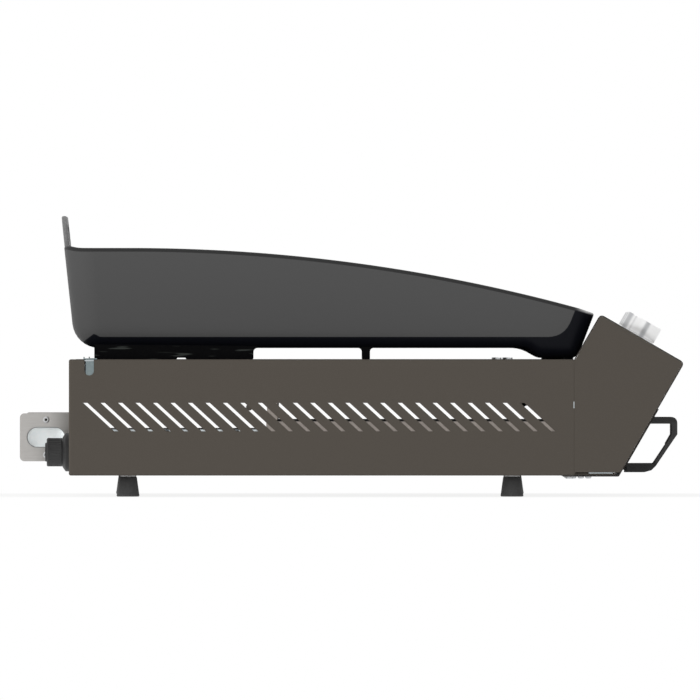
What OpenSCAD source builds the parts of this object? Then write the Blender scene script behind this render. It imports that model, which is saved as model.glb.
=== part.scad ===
// Table-top gas griddle. The user stands at -Y, and X is the width.
// Folded sheet makes the body and the sloping control box. The deep pan is one casting that lifts off.
// Z is 0 under the feet. Y is 0 halfway along the whole depth, rear lugs to control panel.

/* [Body] */
// Width over the side panels
body_w = 700; // [600:1:900]
// Depth of the side panels, from the rear face to the seam with the control box
body_d = 506.7; // [480:0.1:620]
// Height of the side panels
body_h = 116.3; // [112:0.1:135]
// Thickness of the folded sheet
sheet_t = 1; // [0.8:0.1:1.4]
// Width of the flanges that join the panels
flange_w = 12; // [9:0.5:12]
// Width of the top flange that the pan stands on
top_flange_w = 36; // [33:1:44]
// Radius of the corners of the side panels
panel_r = 2.5; // [1:0.5:6]

/* [Slots] */
// Spacing of the sloping vent slots
slot_pitch = 17.48; // [14:0.01:24]
// Width of a slot, measured level
slot_w = 4.2; // [3:0.1:7]
// Height of the row of slots
slot_h = 28.4; // [20:0.1:30]
// Depth of the top of the slots below the top of the body
slot_drop = 43.6; // [42:0.1:46]
// Distance from the rear face to the first slot
slot_rear = 14.4; // [13:0.1:30]
// Least distance from the last slot to the seam
slot_front = 22.6; // [18:0.1:40]

/* [Feet] */
// Height of a rubber foot
foot_h = 19.9; // [14:0.1:30]
// Diameter of a foot where it stands
foot_d = 23; // [18:0.5:32]
// Diameter of a foot at its top
foot_top_d = 18; // [16:0.5:18]
// Height of the neck between a foot and the side panel's lower edge
foot_neck_h = 1.3; // [0.8:0.1:4]
// Distance of the feet in from the side panels
foot_side = 45; // [30:1:90]
// Distance of the rear feet from the rear face
foot_rear = 58.9; // [40:0.1:90]
// Distance of the front feet from the seam
foot_front = 63.3; // [40:0.1:90]

/* [Control box] */
// Height of the box's top rear edge above the body
box_rise = 43.3; // [36:0.1:60]
// Slope of the knob panel
panel_slope = 30; // [27:1:33]
// Length of the knob panel down its slope
panel_len = 96.2; // [90:0.1:115]
// Radius of the bends in the fascia
bend_r = 2; // [1.5:0.5:5]
// Clearance under the cheeks of the box
cheek_gap = 1.2; // [0.5:0.1:3]

/* [Knobs] */
// Diameter of a knob
knob_d = 37.3; // [30:0.1:44]
// Height of a knob's face above the panel
knob_h = 19.4; // [15:0.1:28]
// Diameter of the bezel round a knob
bezel_d = 58; // [52:0.5:66]
// Height of a bezel
bezel_h = 3; // [2.9:0.1:4.5]
// Distance of the knobs down the slope from its top edge
knob_down = 42; // [40:0.5:50]
// Travel when a knob is pushed in
knob_push = 2.6; // [1.5:0.1:2.6]

/* [Pan] */
// Thickness of the casting
pan_t = 6.1; // [4.5:0.1:7]
// Height of the pan's legs above the body
leg_h = 11.3; // [9:0.1:16]
// Height of the rim above the body at its highest point
rim_h = 111.3; // [95:0.1:125]
// Radius of the long curve of the rim
rim_r = 1665; // [1500:5:2500]
// Distance from the rear face to the rim's highest point
rim_peak = 61.2; // [50:0.1:90]
// Lean of the rear and side walls
wall_lean = 6.1; // [4:0.1:7]
// Lean of the front wall
front_lean = 21.1; // [18:0.1:23]
// Distance of the pan's sides in from the side panels, at the level of the plate
pan_side = 16; // [14:0.5:20]
// Distance of the pan's rear wall in from the rear face, at the level of the plate
pan_rear = 6.2; // [4:0.1:12]
// Radius of the rear corners where the walls meet the plate
pan_corner = 27; // [20:0.5:30]
// Radius of the front corners where the walls meet the plate
front_corner = 14; // [10:0.5:18]
// Radius of the rim's rear corners
rim_corner_rear = 30; // [26:1:40]
// Radius of the rim's front corners
rim_corner_front = 24; // [20:1:32]
// Depth of the grease trough below the plate
trough_drop = 10; // [7:0.1:10]
// Length of the trough, front to rear
trough_d = 60; // [50:0.5:80]
// Depth of the slope from the trough up to the plate
trough_slope_d = 24.4; // [16:0.1:34]
// Diameter of the drain through the trough
drain_d = 20; // [12:0.5:24]
// Distance from the rear face to the long leg
leg_rear = 25.7; // [20:0.1:40]
// Length of the long leg
leg_len = 158.9; // [120:0.1:180]
// Distance from the rear face to the post in the middle
post_rear = 293.1; // [250:0.1:330]
// Depth of the post
post_d = 8.1; // [6:0.1:14]
// Width of the raised grip on the rear wall
grip_w = 240; // [190:1:320]
// Height of the grip above the rim
grip_h = 32; // [30:0.1:40]

/* [Burners] */
// Spacing of the burners and knobs
burner_pitch = 215; // [175:1:222]
// Outer diameter of a burner tube
burner_d = 25.4; // [20:0.1:28]
// Depth of the burners' axis below the top of the body
burner_drop = 24.5; // [23:0.1:25.5]
// Wall of a burner tube
burner_wall = 1; // [0.8:0.1:1.5]
// Diameter of the gas manifold
manifold_d = 16; // [12:0.5:18]
// Diameter of the supply pipe
supply_d = 10; // [8:0.5:10]

/* [Grease drawer] */
// Height of the tray's rim above the lower end of the slots
tray_over = 11; // [9:0.1:12]
// Depth of the tray
tray_h = 31.5; // [20:0.5:34]
// Distance from the rear face to the tray's rear wall
tray_rear = 198.4; // [180:0.1:240]
// Gap between the drawer's front and the fascia
drawer_gap = 2; // [1.5:0.1:4]
// Height of the drawer's front, up the slope
drawer_front_len = 70; // [64:0.5:74]
// Width of the drawer's handle
handle_w = 160; // [120:1:220]
// Reach of the handle in front of its top seat
handle_reach = 24.6; // [22:0.1:40]
// Height of the handle
handle_h = 54.6; // [50:0.1:56]
// Thickness of the handle's grip
handle_t = 7.4; // [6:0.1:8]
// Width of each end loop of the handle
handle_end = 14; // [10:0.5:24]

/* [Rear] */
// Reach of the rear lugs behind the body
lug_reach = 49.6; // [46:0.1:60]
// Height of a rear lug
lug_h = 48.1; // [46:0.1:60]
// Thickness of a rear lug
lug_t = 1.5; // [1.2:0.1:3]
// Distance of the lugs in from the side panels
lug_side = 68; // [64:1:76]
// Length of the pressed cup in a lug
cup_len = 38.4; // [30:0.1:38.4]
// Height of the pressed cup
cup_h = 20.4; // [14:0.1:22]
// Depth of the pressed cup
cup_depth = 8; // [5:0.5:12]
// Height of the ignition module's axis
igniter_up = 23.3; // [20:0.1:25]
// Diameter of the ignition module's flange
igniter_flange_d = 38.5; // [34:0.1:40]
// Diameter of the battery cap
cap_d = 28.6; // [28:0.1:31]
// Length of the ignition module inside the body
module_len = 58; // [56:0.5:70]

/* [Hidden] */
$fn = 48;

sheet_paint = [0.32, 0.305, 0.28];
cast_grey = [0.29, 0.29, 0.29];
black_plastic = [0.2, 0.2, 0.2];
zinc = [0.62, 0.66, 0.68];
brass = [0.75, 0.6, 0.3];
steel = [0.68, 0.66, 0.64];

// Clearance of a running fit, and the gap that a seated curved piece keeps
fit = 0.05;
seat = 0.3;
// Overlap of a cutting shape past the face that it cuts
cut = 1;
// The three burner rows: left, middle, right
sides = [-1, 0, 1];

// Levels
base_z = foot_h + foot_neck_h;
top_z = base_z + body_h;
slot_top_z = top_z - slot_drop;
slot_low_z = slot_top_z - slot_h;
floor_z = base_z + sheet_t;
rim_z = top_z + rim_h;
plate_z = top_z + leg_h;

// Places along the depth
box_back = box_rise * tan(panel_slope);
bend_loss = bend_r * (cos(panel_slope) + sin(panel_slope) - 1);
box_reach = box_back + panel_len * cos(panel_slope) - bend_loss;
rear_y = (lug_reach + body_d + box_reach) / 2 - lug_reach;
seam_y = rear_y - body_d;
inner_x = body_w / 2 - sheet_t;
lug_x = body_w / 2 - lug_side;

// Corners of the control box: top rear, top front, and the foot of the sloping front
box_a = [seam_y - box_back, top_z + box_rise];
box_b = [box_a[0] - panel_len * cos(panel_slope), box_a[1] - panel_len * sin(panel_slope)];
function face_y(z) = box_b[0] + (box_b[1] - z) * tan(panel_slope);
box_c = [face_y(base_z - sheet_t), base_z - sheet_t];
box_d = [seam_y + flange_w, base_z - sheet_t];
box_start = [seam_y, top_z];

// A point moved in from a corner by t, and a corner as an arc
function unit(v) = v / norm(v);
function turn(v) = [-v[1], v[0]];
function inset(p, q, r, t) =
    let (u = unit(q - p), v = unit(r - q), m = turn(u) + turn(v)) q + m * t / (1 + turn(u) * turn(v));
function arc(c, r, from, to, steps = 6) =
    [for (i = [0 : steps]) let (a = from + (to - from) * i / steps) c + r * [cos(a), sin(a)]];
function bend(p, q, r, radius, steps = 6) =
    let (u = unit(p - q), v = unit(r - q), half = acos(u * v) / 2,
         centre = q + unit(u + v) * radius / sin(half),
         reach = radius / tan(half), s = q + u * reach - centre, e = q + v * reach - centre,
         a0 = atan2(s[1], s[0]), a1 = atan2(e[1], e[0]), sweep = ((a1 - a0 + 540) % 360) - 180)
    arc(centre, radius, a0, a0 + sweep, steps);

// Corners of the control box inside the fascia's thickness
in_start = box_start + sheet_t * turn(unit(box_a - box_start));
in_a = inset(box_start, box_a, box_b, sheet_t);
in_b = inset(box_a, box_b, box_c, sheet_t);
in_c = inset(box_b, box_c, box_d, sheet_t);
in_d = box_d + [0, sheet_t];

// A shape drawn in the depth and height, given a width along X
module across(w, x = 0) {
    translate([x - w / 2, 0, 0]) rotate([90, 0, 90]) linear_extrude(w) children();
}
// A box from its low and high corners
module block(low, high) {
    translate(low) cube(high - low);
}
// A round bar along Y
module pipe_along(r, y0, y1) {
    translate([0, y0, 0]) rotate([-90, 0, 0]) cylinder(r = r, h = y1 - y0);
}
// The place of a knob on the panel, with Z along its axis
knob_y = box_a[0] - knob_down * cos(panel_slope);
knob_z = box_a[1] - knob_down * sin(panel_slope);
module on_panel(x) {
    translate([x, knob_y, knob_z]) rotate([panel_slope, 0, 0]) children();
}
// A place on the sloping front at the height z, with Z pointing out of it and Y up it
module on_front(x, z) {
    translate([x, face_y(z), z]) rotate([90 + panel_slope, 0, 0]) children();
}

// Body panels

slot_run = body_d - slot_rear - slot_front - slot_h - slot_w;
slot_count = floor(slot_run / slot_pitch) + 1;
notch_w = 8.2;
notch_y = rear_y - 21;
notch_h = 16.2;
notch_low_z = top_z - notch_h;

// One sloping slot: a parallelogram whose top lies to the rear
module slots() {
    for (i = [0 : slot_count - 1]) translate([rear_y - slot_rear - i * slot_pitch, slot_top_z])
        polygon([[0, 0], [-slot_w, 0], [-slot_w - slot_h, -slot_h], [-slot_h, -slot_h]]);
}
module rounded_panel(y0, y1, z0, z1, r) {
    polygon(concat(arc([y1 - r, z1 - r], r, 0, 90), arc([y0 + r, z1 - r], r, 90, 180),
                   arc([y0 + r, z0 + r], r, 180, 270), arc([y1 - r, z0 + r], r, 270, 360)));
}
module notch() {
    translate([notch_y, notch_low_z + notch_w / 2]) circle(d = notch_w);
    translate([notch_y - notch_w / 2, notch_low_z + notch_w / 2]) square([notch_w, top_z - notch_low_z]);
}
// Side panel with slots, a notch for the locator, and a flange folded in along each edge
module side_panel(side) {
    x1 = side * body_w / 2;
    web_x = side * (body_w - sheet_t) / 2;
    color(sheet_paint) {
        across(sheet_t, web_x) difference() {
            rounded_panel(seam_y, rear_y, base_z, top_z, panel_r);
            slots();
            notch();
        }
        difference() {
            fold(x1, side * (body_w / 2 - top_flange_w), seam_y + panel_r, rear_y - panel_r, top_z - sheet_t);
            across(top_flange_w * 2, x1) notch();
            flange_screw_holes();
        }
        difference() {
            fold(x1, side * (body_w / 2 - flange_w), seam_y + panel_r, rear_y - panel_r, base_z);
            base_screw_holes();
        }
        block([min(x1, x1 - side * flange_w), rear_y - sheet_t, base_z + panel_r],
              [max(x1, x1 - side * flange_w), rear_y, top_z - panel_r]);
        block([min(x1, x1 - side * flange_w), seam_y, base_z + panel_r],
              [max(x1, x1 - side * flange_w), seam_y + sheet_t, top_z - panel_r]);
    }
}
// A level flange between two X values
module fold(xa, xb, y0, y1, z) {
    block([min(xa, xb), y0, z], [max(xa, xb), y1, z + sheet_t]);
}

supply_side = 22;
supply_x = -(body_w / 2 - supply_side);
supply_in = 8.5;
supply_rear_y = rear_y - supply_in;
inlet_side = 32;
inlet_x = -(lug_x - inlet_side);
inlet_z = base_z + 38.2;
igniter_r = 11;
igniter_x = -(body_w / 2 - flange_w - igniter_flange_d / 2 - 0.8);
igniter_z = base_z + igniter_up;
inlet_r = 7.94;

// Rear panel inside the side panels' rear flanges, with holes for the gas inlet and the ignition module
module rear_panel() {
    color(sheet_paint) difference() {
        union() {
            block([-inner_x, rear_y - 2 * sheet_t, floor_z], [inner_x, rear_y - sheet_t, top_z - sheet_t]);
            block([-inner_x + top_flange_w, rear_y - flange_w, top_z - 2 * sheet_t],
                  [inner_x - top_flange_w, rear_y - sheet_t, top_z - sheet_t]);
        }
        translate([inlet_x, 0, inlet_z]) pipe_along(inlet_r + seat, rear_y - 5, rear_y + cut);
        translate([igniter_x, 0, igniter_z]) pipe_along(igniter_r + seat, rear_y - 5, rear_y + cut);
        for (side = [-1, 1]) for (i = [0 : 1]) lug_rivet_place(side, i, rear_y + cut)
            cylinder(r = rivet_r + fit, h = 6);
    }
}
foot_ys = [seam_y + foot_front, rear_y - foot_rear];
foot_x = body_w / 2 - foot_side;
foot_screw_r = 3;
base_gap = 3;
base_front_y = face_y(base_z) + sheet_t + base_gap;
base_screw_y = seam_y + flange_w / 2;
base_screw_xs = [-inner_x + 5, -inner_x / 3, inner_x / 3, inner_x - 5];
base_screw_r = 2;

// Floor of the body and of the control box, with rows of air holes
module base_panel() {
    vent_d = 8;
    vent_pitch = 30;
    vent_margin = 90;
    vent_rows = 7;
    vent_across = body_w / (vent_rows + 2);
    vents = floor((body_d - 2 * vent_margin) / vent_pitch);
    color(sheet_paint) difference() {
        block([-inner_x, base_front_y, floor_z], [inner_x, rear_y - 2 * sheet_t, floor_z + sheet_t]);
        for (x = [-1, 1]) for (y = foot_ys) translate([x * foot_x, y, base_z])
            cylinder(r = foot_screw_r + fit, h = 6);
        for (row = [0 : vent_rows - 1]) for (i = [0 : vents - 1])
            translate([(row - (vent_rows - 1) / 2) * vent_across, rear_y - vent_margin - i * vent_pitch,
                       base_z]) cylinder(d = vent_d, h = 6);
        base_screw_holes();
    }
}
module base_screw_holes() {
    for (x = base_screw_xs) translate([x, base_screw_y, base_z - 3]) cylinder(r = base_screw_r + fit, h = 9);
}

shield_up = 1.8;
shield_in = 32;
shield_gap = 1.7;
shield_lip = 10;
shield_top_z = slot_low_z + shield_up;
shield_rear_y = rear_y - shield_in;
shield_front_y = rear_y - tray_rear + shield_gap;
// Slots in front of which the shield's lip is notched
shield_gaps = [3, 7];

// Galvanised heat shield below the rear half of the burners, with two notches in each side lip
module heat_shield() {
    color(zinc) difference() {
        block([-inner_x, shield_front_y, shield_top_z - shield_lip], [inner_x, shield_rear_y, shield_top_z]);
        block([-inner_x + sheet_t, shield_front_y + sheet_t, shield_top_z - shield_lip - cut],
              [inner_x - sheet_t, shield_rear_y - sheet_t, shield_top_z - sheet_t]);
        for (i = shield_gaps) for (side = [-1, 1])
            translate([side * inner_x, rear_y - slot_rear - i * slot_pitch - slot_h, shield_top_z])
                cube([12, 10, 5], center = true);
    }
}

burner_z = top_z - burner_drop;
burner_r = burner_d / 2;
drawer_over = 7.5;
drawer_top_z = slot_low_z + tray_over + drawer_over;

// Wall between the body and the control box, above the drawer
module firewall() {
    color(sheet_paint) difference() {
        block([-inner_x, seam_y + sheet_t, drawer_top_z], [inner_x, seam_y + 2 * sheet_t, top_z - sheet_t]);
        for (i = sides) translate([i * burner_pitch, 0, burner_z])
            pipe_along(burner_r + 1.5, seam_y - 5, seam_y + 5);
        translate([supply_x, 0, manifold_z]) pipe_along(supply_d / 2 + seat, seam_y - 5, seam_y + 5);
    }
}

// Control box

// Cheek of the control box: a flat sheet set in by one sheet from the fascia's outer lines
module control_side(side) {
    low = base_z + sheet_t + sheet_t + cheek_gap;
    front_low = [face_y(low) + sheet_t / cos(panel_slope), low];
    back_low = [seam_y, low];
    x1 = side * body_w / 2;
    color(sheet_paint) {
        across(sheet_t, side * (body_w - sheet_t) / 2)
            polygon(concat([in_start], bend(in_start, in_a, in_b, bend_r - sheet_t),
                           bend(in_a, in_b, in_c, bend_r - sheet_t),
                           [front_low, back_low, [seam_y, in_start[1]]]));
        block([min(x1, x1 - side * flange_w), seam_y - sheet_t, low + 2],
              [max(x1, x1 - side * flange_w), seam_y, drawer_low_cut]);
        block([min(x1, x1 - side * flange_w), seam_y - sheet_t, drawer_top_z],
              [max(x1, x1 - side * flange_w), seam_y, top_z - 2 * sheet_t]);
    }
}
drawer_low_cut = slot_low_z - 20;
drawer_side = 22;
drawer_w = body_w - 2 * drawer_side;
drawer_drop = 19.5;
drawer_mid_z = slot_low_z + tray_over - drawer_drop;

// Fascia: one sheet that covers the back, the knob panel, the sloping front and the bottom of the box
module control_fascia() {
    r = bend_r - sheet_t;
    outer = concat([box_start], bend(box_start, box_a, box_b, bend_r), bend(box_a, box_b, box_c, bend_r),
                   bend(box_b, box_c, box_d, bend_r), [box_d]);
    inner = concat([in_start], bend(in_start, in_a, in_b, r), bend(in_a, in_b, in_c, r),
                   bend(in_b, in_c, in_d, r), [in_d]);
    count = len(inner);
    color(sheet_paint) difference() {
        across(body_w) polygon(concat(outer, [for (i = [1 : count]) inner[count - i]]));
        on_front(0, drawer_mid_z) cube([drawer_w + 2 * drawer_gap, drawer_front_len + 2 * drawer_gap, 6],
                                       center = true);
        for (i = sides) on_panel(i * burner_pitch) translate([0, 0, -3]) cylinder(r = stem_hole_r, h = 6);
        base_screw_holes();
    }
}

// Feet and screws

module foot(x, y) {
    color(black_plastic) translate([x, y, 0]) rotate_extrude()
        polygon([[0, 0], [foot_d / 2 - 1, 0], [foot_d / 2, 1], [foot_top_d / 2, foot_h - 0.8],
                 [foot_top_d / 2 - 0.8, foot_h], [0, foot_h]]);
}
// Stud, washer and nut of each foot
module foot_screws() {
    color(steel) for (x = [-1, 1]) for (y = foot_ys) translate([x * foot_x, y, foot_h]) {
        cylinder(d = foot_top_d - 3, h = floor_z - foot_h);
        cylinder(r = foot_screw_r, h = floor_z - foot_h + 8);
        translate([0, 0, floor_z + sheet_t - foot_h]) cylinder(d = 11.5, h = 5, $fn = 6);
    }
}
// Screws that join the fascia's lower return to the side flanges and the base panel
module base_screws() {
    color(steel) for (x = base_screw_xs) translate([x, base_screw_y, base_z - sheet_t]) {
        translate([0, 0, -2]) cylinder(r = 3.8, h = 2);
        cylinder(r = base_screw_r, h = 7);
    }
}

// Crossbars and shelf under the burners

bar_top_z = burner_z - burner_r - fit;
bar_front_w = 6;
bar_front_in = 51.5;
bar_front_y = seam_y + bar_front_in;
bar_front_up = 2.9;
bar_middle_w = 10.5;
bar_middle_y = rear_y - tray_rear - bar_middle_w / 2 + 0.25;
bar_tab = 14;
hanger_w = 36;
hanger_x = inner_x - sheet_t;

// Bar across the body that carries the burners, hung from the side panels' top flanges
module crossbar(y, w, low_z, hanger) {
    color(sheet_paint) {
        y0 = y - w / 2;
        y1 = y0 + hanger;
        block([-inner_x, y0, low_z], [inner_x, y0 + w, bar_top_z]);
        for (side = [-1, 1]) {
            end = side * inner_x;
            web = side * hanger_x;
            tab = side * (inner_x - bar_tab);
            block([min(end, web), y0, bar_top_z], [max(end, web), y1, top_z - sheet_t]);
            block([min(end, tab), y0, top_z - 2 * sheet_t], [max(end, tab), y1, top_z - sheet_t]);
        }
    }
}
module crossbar_front() {
    difference() {
        crossbar(bar_front_y, bar_front_w, slot_top_z - bar_front_up, hanger_w);
        flange_screw_holes();
    }
}
module crossbar_middle() {
    crossbar(bar_middle_y, bar_middle_w, slot_low_z + tray_over + 2 * seat, bar_middle_w);
}
// Shelf on the rear panel for the burners' rear tabs
module burner_shelf() {
    half = burner_pitch + 15;
    shelf_d = 28;
    shelf_drop = 12;
    z = bar_top_z - sheet_t;
    color(zinc) {
        block([-half, rear_y - shelf_d, z], [half, rear_y - 2 * sheet_t, z + sheet_t]);
        block([-half, rear_y - 3 * sheet_t, z - shelf_drop], [half, rear_y - 2 * sheet_t, z + sheet_t]);
    }
}
flange_screw_r = 2;
flange_screw_at = [15, 26];
// Places of the screws through the top flanges into the front crossbar
module flange_screw_places() {
    for (side = [-1, 1]) for (at = flange_screw_at)
        translate([side * (inner_x - bar_tab / 2), bar_front_y + at, top_z]) children();
}
module flange_screw_holes() {
    flange_screw_places() translate([0, 0, -6]) cylinder(r = flange_screw_r + fit, h = 9);
}
module flange_screws() {
    color(steel) flange_screw_places() {
        cylinder(r = 3.5, h = 1.7);
        translate([0, 0, -4]) cylinder(r = flange_screw_r, h = 4);
    }
}
// Zinc locator: a plate on the top flange with a tongue down inside the notch and a small upturned edge
module pan_locator(side) {
    y0 = notch_y - 7.1;
    y1 = notch_y + 6.4;
    x_out = side * (body_w / 2);
    x_in = side * (body_w / 2 - top_flange_w + 10);
    tongue_x = side * (inner_x - sheet_t);
    color(zinc) {
        fold(x_out, x_in, y0, y1, top_z);
        block([min(x_out, x_in), y1 - sheet_t, top_z], [max(x_out, x_in), y1, top_z + 2.4]);
        block([min(side * inner_x, tongue_x), notch_y - notch_w / 2 + 0.1, notch_low_z - 3],
              [max(side * inner_x, tongue_x), notch_y + notch_w / 2 - 0.1, top_z + sheet_t]);
    }
}

// Griddle pan

pan_rear_y = rear_y - pan_rear;
pan_front_y = seam_y - 0.35;
pan_half = body_w / 2 - pan_side;
trough_z = plate_z - trough_drop;
// Height to which the leaning walls are drawn before the rim's curve cuts them
wall_top_z = rim_z + 16;
peak_y = rear_y - rim_peak;
leg_w = 6;
leg_x = body_w / 2 - top_flange_w + leg_w;
grip_top_z = rim_z + grip_h + 1.7;

// Height of the rim at y: a long arc in front of its highest point, and a slight rise behind it
function rim_at(y) = y < peak_y ? rim_z - rim_r + sqrt(rim_r * rim_r - (y - peak_y) * (y - peak_y))
                                : rim_z + 0.00053 * (y - peak_y) * (y - peak_y);
function rear_line(z) = pan_rear_y + (z - plate_z) * tan(wall_lean);
function front_line(z) = pan_front_y - (z - trough_z) * tan(front_lean);

// Basin whose walls lean out, t inside the outer surface
module basin(t) {
    r = pan_corner - t;
    rf = front_corner - t;
    rt = rim_corner_rear - t;
    ft = rim_corner_front - t;
    z = plate_z + t;
    // A ball touches a leaning wall higher up, so its centre stands in by this share of its radius
    rear_in = r * (1 / cos(wall_lean) - tan(wall_lean));
    side_in = rear_in;
    front_in = rf * (1 / cos(front_lean) - tan(front_lean));
    side_in_f = rf * (1 / cos(wall_lean) - tan(wall_lean));
    side_base = pan_half + t * (tan(wall_lean) - 1 / cos(wall_lean));
    rear_base = rear_line(z) - t / cos(wall_lean);
    front_base = front_line(z) + t / cos(front_lean);
    side_top = side_base + (wall_top_z - z) * tan(wall_lean);
    rear_top = rear_base + (wall_top_z - z) * tan(wall_lean);
    front_top = front_base - (wall_top_z - z) * tan(front_lean);
    hull() for (s = [-1, 1]) {
        translate([s * (side_base - side_in), rear_base - rear_in, z + r]) sphere(r, $fn = 40);
        translate([s * (side_base - side_in_f), front_base + front_in, z + rf]) sphere(rf, $fn = 32);
        translate([s * (side_top - rt), rear_top - rt, wall_top_z]) cylinder(r = rt, h = 1);
        translate([s * (side_top - ft), front_top + ft, wall_top_z]) cylinder(r = ft, h = 1);
    }
}
// Section of the grease trough, t inside its outer surface, with an S-curve up to the plate
module trough_section(t) {
    steps = 8;
    low = trough_z + t;
    high = plate_z + pan_t + 2;
    toe = 4;
    // The slope is steepest halfway, and its inner line stands back by this to keep the casting's thickness
    back = 0.4 * t;
    y_top = pan_front_y + trough_d + back;
    wall_in = t / cos(front_lean);
    polygon(concat([for (i = [0 : steps]) [y_top - trough_slope_d * (1 - i / steps),
                        low + trough_drop * (1 - cos(180 * i / steps)) / 2]],
                   [[y_top, high], [front_line(high) + wall_in, high],
                    [front_line(low + toe) + wall_in, low + toe],
                    [front_line(low) + wall_in + toe / 2, low]]));
}
module pan_legs() {
    low = [-leg_w / 2, 0, top_z];
    high = [leg_w / 2, 0, plate_z + pan_t];
    rear_end = rear_y - leg_rear;
    relief = [rear_y - 117.5, rear_y - 107.5];
    front_leg = [seam_y + 2, seam_y + 12];
    for (s = [-1, 1]) translate([s * leg_x, 0, 0]) {
        difference() {
            block(low + [0, rear_end - leg_len, 0], high + [0, rear_end, 0]);
            block([-leg_w, relief[0], top_z - cut], [leg_w, relief[1], top_z + 1.5]);
        }
        block(low + [0, rear_y - post_rear - post_d, 0], high + [0, rear_y - post_rear, 0]);
        block(low + [0, front_leg[0], 0], high + [0, front_leg[1], 0]);
    }
}
// Raised grip on the rear wall, with a slot for the hand
module grip() {
    r = 26;
    root = 60;
    slot_l = grip_w - 120;
    slot_d = 15;
    slot_at = 18;
    stand_off = 0.4;
    rise = (grip_top_z - plate_z) / cos(wall_lean) - pan_t * tan(wall_lean);
    translate([0, rear_line(plate_z), plate_z]) rotate([-wall_lean, 0, 0]) translate([0, stand_off, 0])
        rotate([90, 0, 0]) linear_extrude(pan_t - 1.5 * stand_off) difference() {
            union() {
                for (s = [-1, 1]) translate([s * (grip_w / 2 - r), rise - r]) circle(r);
                translate([-grip_w / 2 + r, rise - root]) square([grip_w - 2 * r, root]);
                translate([-grip_w / 2, rise - root]) square([grip_w, root - r]);
            }
            for (s = [-1, 1]) translate([s * slot_l / 2, rise - slot_at]) circle(d = slot_d);
            translate([-slot_l / 2, rise - slot_at - slot_d / 2]) square([slot_l, slot_d]);
        }
}
drain_x = burner_pitch / 2;
drain_y = pan_front_y + (trough_d - trough_slope_d) / 2 + 1.2;
drain_drop = 8;
trough_half = leg_x - 2;
module griddle_pan() {
    color(cast_grey) difference() {
        union() {
            intersection() {
                basin(0);
                under_rim();
            }
            across(2 * trough_half) trough_section(0);
            pan_legs();
            grip();
            translate([drain_x, drain_y, top_z - drain_drop])
                cylinder(d = drain_d + 6, h = trough_z - top_z + drain_drop + 2);
        }
        basin(pan_t);
        across(2 * (trough_half - pan_t)) trough_section(pan_t);
        translate([drain_x, drain_y, top_z - drain_drop - cut])
            cylinder(d = drain_d, h = trough_z - top_z + drain_drop + pan_t + 2 * cut);
    }
}
// All that lies below the rim's curve
module under_rim() {
    steps = 40;
    y0 = front_line(wall_top_z) - 10;
    y1 = rear_line(wall_top_z) + 10;
    across(body_w) polygon(concat([[y1, top_z], [y0, top_z]],
        [for (i = [0 : steps]) let (y = y0 + (y1 - y0) * i / steps) [y, rim_at(y)]]));
}

// Burners and gas

burner_reach = 14;
burner_end = 30;
burner_front_y = seam_y - burner_reach;
burner_rear_y = rear_y - burner_end;
// Steel tube burner with a row of flame slots each side, an open mouth and a tab at its rear end
module burner(x) {
    flame_slots = 16;
    flame_rear = 30;
    flame_front = 90;
    flame_pitch = (burner_rear_y - burner_front_y - flame_rear - flame_front) / flame_slots;
    color(steel) difference() {
        union() {
            translate([x, burner_rear_y, burner_z]) rotate([90, 0, 0])
                cylinder(d = burner_d, h = burner_rear_y - burner_front_y);
            block([x - 8, burner_rear_y - 10, burner_z - burner_r],
                  [x + 8, burner_rear_y + 12, burner_z - burner_r + 1.2]);
        }
        translate([x, burner_rear_y - burner_wall, burner_z]) rotate([90, 0, 0])
            cylinder(d = burner_d - 2 * burner_wall, h = burner_rear_y - burner_front_y);
        for (i = [0 : flame_slots - 1])
            translate([x, burner_rear_y - flame_rear - i * flame_pitch, burner_z + 4])
                cube([burner_d + 4, 2, 3], center = true);
    }
}

stem_hole_r = 4.5;
plug_r = 6;
stem_r = 3;
valve_r = 11;
plug_top = -8;
plug_low = -38;
stem_low = -24;
// Distance down a knob's axis at which the valve's outlet meets the burner's axis
outlet_drop = (knob_z - burner_z) / cos(panel_slope);
outlet_y = knob_y + outlet_drop * sin(panel_slope);
manifold_down = valve_r + manifold_d / 2 + 2;
manifold_deep = 40;
manifold_y = knob_y - manifold_down * cos(panel_slope) + manifold_deep * sin(panel_slope);
manifold_z = knob_z - manifold_down * sin(panel_slope) - manifold_deep * cos(panel_slope);

// Brass valve body under the knob panel, with its inlet to the manifold and its outlet to the burner
module valve(i) {
    x = i * burner_pitch;
    color(brass) difference() {
        union() {
            on_panel(x) {
                translate([0, 0, -sheet_t - 3]) cylinder(r = 15, h = 3);
                translate([0, 0, -outlet_drop - 9]) cylinder(r = valve_r, h = outlet_drop + 9 - sheet_t - 1);
                translate([0, -valve_r + 3, -manifold_deep]) rotate([90, 0, 0])
                    cylinder(r = 5, h = manifold_down - valve_r);
            }
            translate([x, outlet_y, burner_z]) rotate([-90, 0, 0]) cylinder(r = 7, h = 14);
        }
        on_panel(x) {
            translate([0, 0, plug_low - seat]) cylinder(r = plug_r + fit, h = plug_top - plug_low + 2 * seat);
            translate([0, 0, plug_top - 2]) cylinder(r = stem_hole_r, h = 12);
        }
        translate([x, outlet_y + 4, burner_z]) rotate([-90, 0, 0]) cylinder(r = 3 + fit, h = 12);
        manifold_core(fit);
    }
}
module manifold_core(gap = 0) {
    right = burner_pitch + 30;
    translate([supply_x, manifold_y, manifold_z]) rotate([0, 90, 0])
        cylinder(d = manifold_d + 2 * gap, h = right - supply_x);
}
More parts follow.
